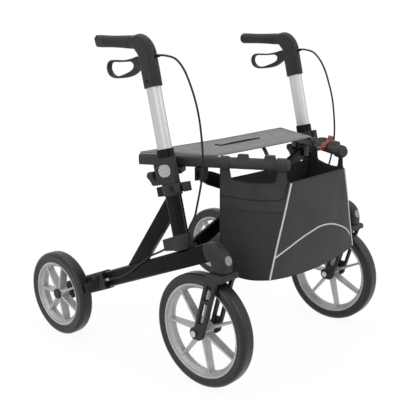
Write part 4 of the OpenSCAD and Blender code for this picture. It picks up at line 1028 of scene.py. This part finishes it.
def bagThreads(side, sign):  # the flap's seam and the stitches over the mesh
    out = outward(sign)
    flap = [(sidePoint(sign, u, v) + out * sewing["flapLift"]) * mm for u, v in sewing["flap"]]
    first, last = sewing["seamU"]
    seam = alongEdge(lambda t: sidePoint(sign, first + (last - first) * t, bag["meshFrom"]),
                     sewing["seamSteps"], out * sewing["seamLift"])
    flapSeam = tube("flapSeam", smoothLine(flap, sewing["flapSteps"]), sewing["flapR"] * mm, sides=8)
    mesh = joinMeshes(f"{side}_bag_threads", [flapSeam, stitches(seam, out)])
    addPiece(mesh, threadBlack, f"{side}_rail_body", sharp=60)


for side, sign in sideSigns.items():
    bagPanels(side, sign)
    bagCollars(side, sign)
    bagPiping(side, sign)
    bagBinding(side, sign)
    bagThreads(side, sign)

# Red clip: two flared lips on its ring, their sections across the rail and up
clip = {
    "s": 135, "thick": 2.6, "length": 20, "flare": 8, "steps": 5,
    "near": [(-15, 2), (-19, -3), (-23.5, -3.5), (-28, 1.5)],
    "top": [(-5, 16.5), (0, 17.5), (3, 21.5), (3.5, 26), (7, 30)],
    "sheet": {"grid": (16, 8), "threads": (0.02, 0.02)},
}


def lipMesh(section):
    along, across = railFrame(1)
    edge = smoothLine([(a, b, 0) for a, b in section], clip["steps"])

    def lipPoint(u, v):
        spot = pointAt(edge, u)
        reach = along * (v - 0.5) * (clip["length"] + clip["flare"] * u * u)
        return (railSpot(1, clip["s"]) + reach + across * spot.x + upward * spot.y) * mm

    return sheetMesh("lip", lipPoint, clip["sheet"], clip["thick"] * mm)


mesh = joinMeshes("fold_clip_lips", [lipMesh(clip["near"]), lipMesh(clip["top"])])
addPiece(mesh, clipRed, "left_rail_body", sharp=50)

# Inside of the bag: its slack back, its sagging floor and the strap that ties the back to the seat
lining = {
    "backIn": 3.5, "backGap": 1.5, "backLean": 2, "backSlack": 3, "slackTop": 0.2, "backDrop": 2,
    "backDip": 3, "backShort": 3,
    "floorIn": (6.5, 5), "floorEnds": (3, 4), "floorUp": 1, "floorSag": 9, "floorEase": 0.7,
    "hanger": [(0, -188, 537), (0, -196, 526), (0, -204, 512), (0, -208.5, 496), (0, -209, 470)],
    "hangerSteps": 4, "hangerW": 14, "hangerT": 1.6,
    "backCloth": {"grid": (40, 24), "threads": (0.37, 0.225), "cut": (0.385, 0.235)},
    "floorCloth": {"grid": (40, 18), "threads": (0.36, 0.145), "cut": (0.38, 0.16)},
    "hangerCloth": {"grid": (3, 16), "threads": (0.014, 0.072), "cut": (0.0165, 0.08)},
}


def backPoint(u, v):  # u from the left to the right
    half = bag["backX"] - lining["backIn"] - bag["backTaper"] * v
    arch = math.sin(math.pi * u)
    down = min(1, lining["slackTop"] + (1 - lining["slackTop"]) * v)
    slack = lining["backSlack"] * arch * math.sin(math.pi * down)
    top = bag["topZ"] - lining["backDrop"] - lining["backDip"] * arch
    fall = bag["backLowZ"] - bag["topZ"] + lining["backShort"]
    y = bag["backY"] + lining["backGap"] + lining["backLean"] * v + slack
    return Vector(((1 - 2 * u) * half, y, top + fall * v)) * mm


def floorPoint(u, v):  # v from the back to the front
    middle = 2 * u - 1
    halfBack, halfFront = bag["backX"] - lining["floorIn"][0], bag["frontLowHalf"] - lining["floorIn"][1]
    yBack, yFront = bag["backY"] + lining["floorEnds"][0], bag["frontY"] + lining["floorEnds"][1]
    zBack, zFront = bag["backLowZ"], bag["lowZ"] - bag["frontSag"] * (1 - middle ** 2)
    sag = lining["floorSag"] * math.sin(math.pi * u) ** lining["floorEase"] * math.sin(math.pi * v)
    return Vector((middle * (halfBack + (halfFront - halfBack) * v), yBack + (yFront - yBack) * v,
                   zBack + (zFront - zBack) * v + lining["floorUp"] - sag)) * mm


def hangerPoint(u, v):
    spot = pointAt(smoothLine(lining["hanger"], lining["hangerSteps"]), v)
    return (spot + Vector(((u - 0.5) * lining["hangerW"], 0, 0))) * mm


mesh = sheetMesh("bag_back_panel", backPoint, lining["backCloth"], bag["thick"] * mm)
piece = addPiece(mesh, liningCloth, None, ["bag_back"], sharp=50)
foldWithSeat(piece)
mesh = sheetMesh("bag_floor", floorPoint, lining["floorCloth"], bag["thick"] * mm)
piece = addPiece(mesh, bagCloth, None, ["bag_back"], sharp=50)
foldWithSeat(piece)
mesh = sheetMesh("bag_hanger", hangerPoint, lining["hangerCloth"], lining["hangerT"] * mm)
piece = addPiece(mesh, webbing, None, sharp=50)
foldWithSeat(piece)
print("bag sewn")

# Studio: pale floor that keeps a faint shadow, white surround, broad soft lamps
studio = {  # in metres and watts
    "floor": 8.0, "floorZ": -0.0005, "mottle": 300 * mm, "paper": ((0.0, "#e7e7e7"), (1.0, "#eaeaea")),
    "shadow": 0.14, "shadowEnds": (1.0, 2.5), "glow": 1.08, "surround": 0.4, "white": "#ffffff",
    "aim": (0, 0, 0.42),
    "lamps": {"keyLamp": {"place": (0.6, -2.6, 2.3), "size": 2.2, "power": 25.0},
              "fillLamp": {"place": (-2.8, -0.2, 1.6), "size": 2.4, "power": 18.5},
              "topLamp": {"place": (0.0, 0.6, 3.0), "size": 2.6, "power": 22.0}},
}
seenDirectly = {  # 1 for what the camera sees, also in a reflection or through glass
    "path": ("LightPath", {}, {}),
    "mirrored": ("Math", {"operation": "MAXIMUM"}, {0: "path.Is Camera Ray", 1: "path.Is Glossy Ray"}),
    "seen": ("Math", {"operation": "MAXIMUM"}, {0: "mirrored.Value", 1: "path.Is Transmission Ray"}),
}


def whiteSurround():
    world = bpy.data.worlds.new("whiteSurround")
    world.use_nodes = True
    world.node_tree.nodes.clear()
    addGraph(world.node_tree, {
        **seenDirectly,
        "strength": ("MapRange", {"To Min": studio["surround"], "To Max": 1.0}, {"Value": "seen.Value"}),
        "background": ("Background", {"Color": linear(studio["white"])}, {"Strength": "strength.Result"}),
        "output": ("OutputWorld", {}, {"Surface": "background.Background"}),
    }, {})
    return world


# Painted floor, rolled matt: plain white to the eye, with a shadow that fades before the far edge
def paintedFloor():
    near, far = studio["shadowEnds"]
    fade = {"From Min": near, "From Max": far, "To Min": studio["shadow"], "To Max": 0.0}
    return makeMaterial("paintedFloor", {"Roughness": 0.9, "Specular IOR Level": 0.0}, {
        **seenDirectly,
        "mottle": ("TexNoise", {"Scale": perMetre(studio["mottle"])}, onObject),
        "tone": ("ValToRGB", {"stops": studio["paper"]}, {"Fac": "mottle.Fac"}),
        "glow": ("Emission", {"Color": linear(studio["white"]), "Strength": studio["glow"]}, {}),
        "away": ("VectorMath", {"operation": "LENGTH"}, {0: "place.Object"}),
        "share": ("MapRange", fade, {"Value": "away.Value"}),
        "faint": ("MixShader", {}, {0: "share.Result", 1: "glow.Emission", 2: "shader.BSDF"}),
        "surface": ("MixShader", {}, {0: "seen.Value", 1: "shader.BSDF", 2: "faint.Shader"}),
    })


def aimAt(holder, place, aim):
    holder.location = place
    holder.rotation_euler = (aim - place).to_track_quat("-Z", "Y").to_euler()


def addLamp(name, lamp):
    light = bpy.data.lights.new(name, "AREA")
    light.shape = "DISK"
    light.size = lamp["size"]
    light.energy = lamp["power"]
    holder = bpy.data.objects.new(name, light)
    bpy.context.scene.collection.objects.link(holder)
    aimAt(holder, Vector(lamp["place"]), Vector(studio["aim"]))


bpy.context.scene.world = whiteSurround()
half, z = studio["floor"], studio["floorZ"]
corners = [(-half, -half, z), (half, -half, z), (half, half, z), (-half, half, z)]
floorMesh = bpy.data.meshes.new("studio_floor")
floorMesh.from_pydata(corners, [], [(0, 1, 2, 3)])
floorMesh.materials.append(paintedFloor())
floor = bpy.data.objects.new("studio_floor", floorMesh)
bpy.context.scene.collection.objects.link(floor)
for name, lamp in studio["lamps"].items():
    addLamp(name, lamp)

# The camera of the photograph, in mm
view = {"place": (-1410.94, -1279.8, 835.63), "aim": (-0.3, 2.1, 342.3), "lens": 60.8, "sensor": 36.0}
cameraData = bpy.data.cameras.new("photoCamera")
cameraData.lens = view["lens"]
cameraData.sensor_width = view["sensor"]
cameraData.sensor_fit = "HORIZONTAL"
camera = bpy.data.objects.new("photoCamera", cameraData)
bpy.context.scene.collection.objects.link(camera)
aimAt(camera, Vector(view["place"]) * mm, Vector(view["aim"]) * mm)
bpy.context.scene.camera = camera
bpy.context.scene.view_settings.view_transform = "Standard"
print("studio set")
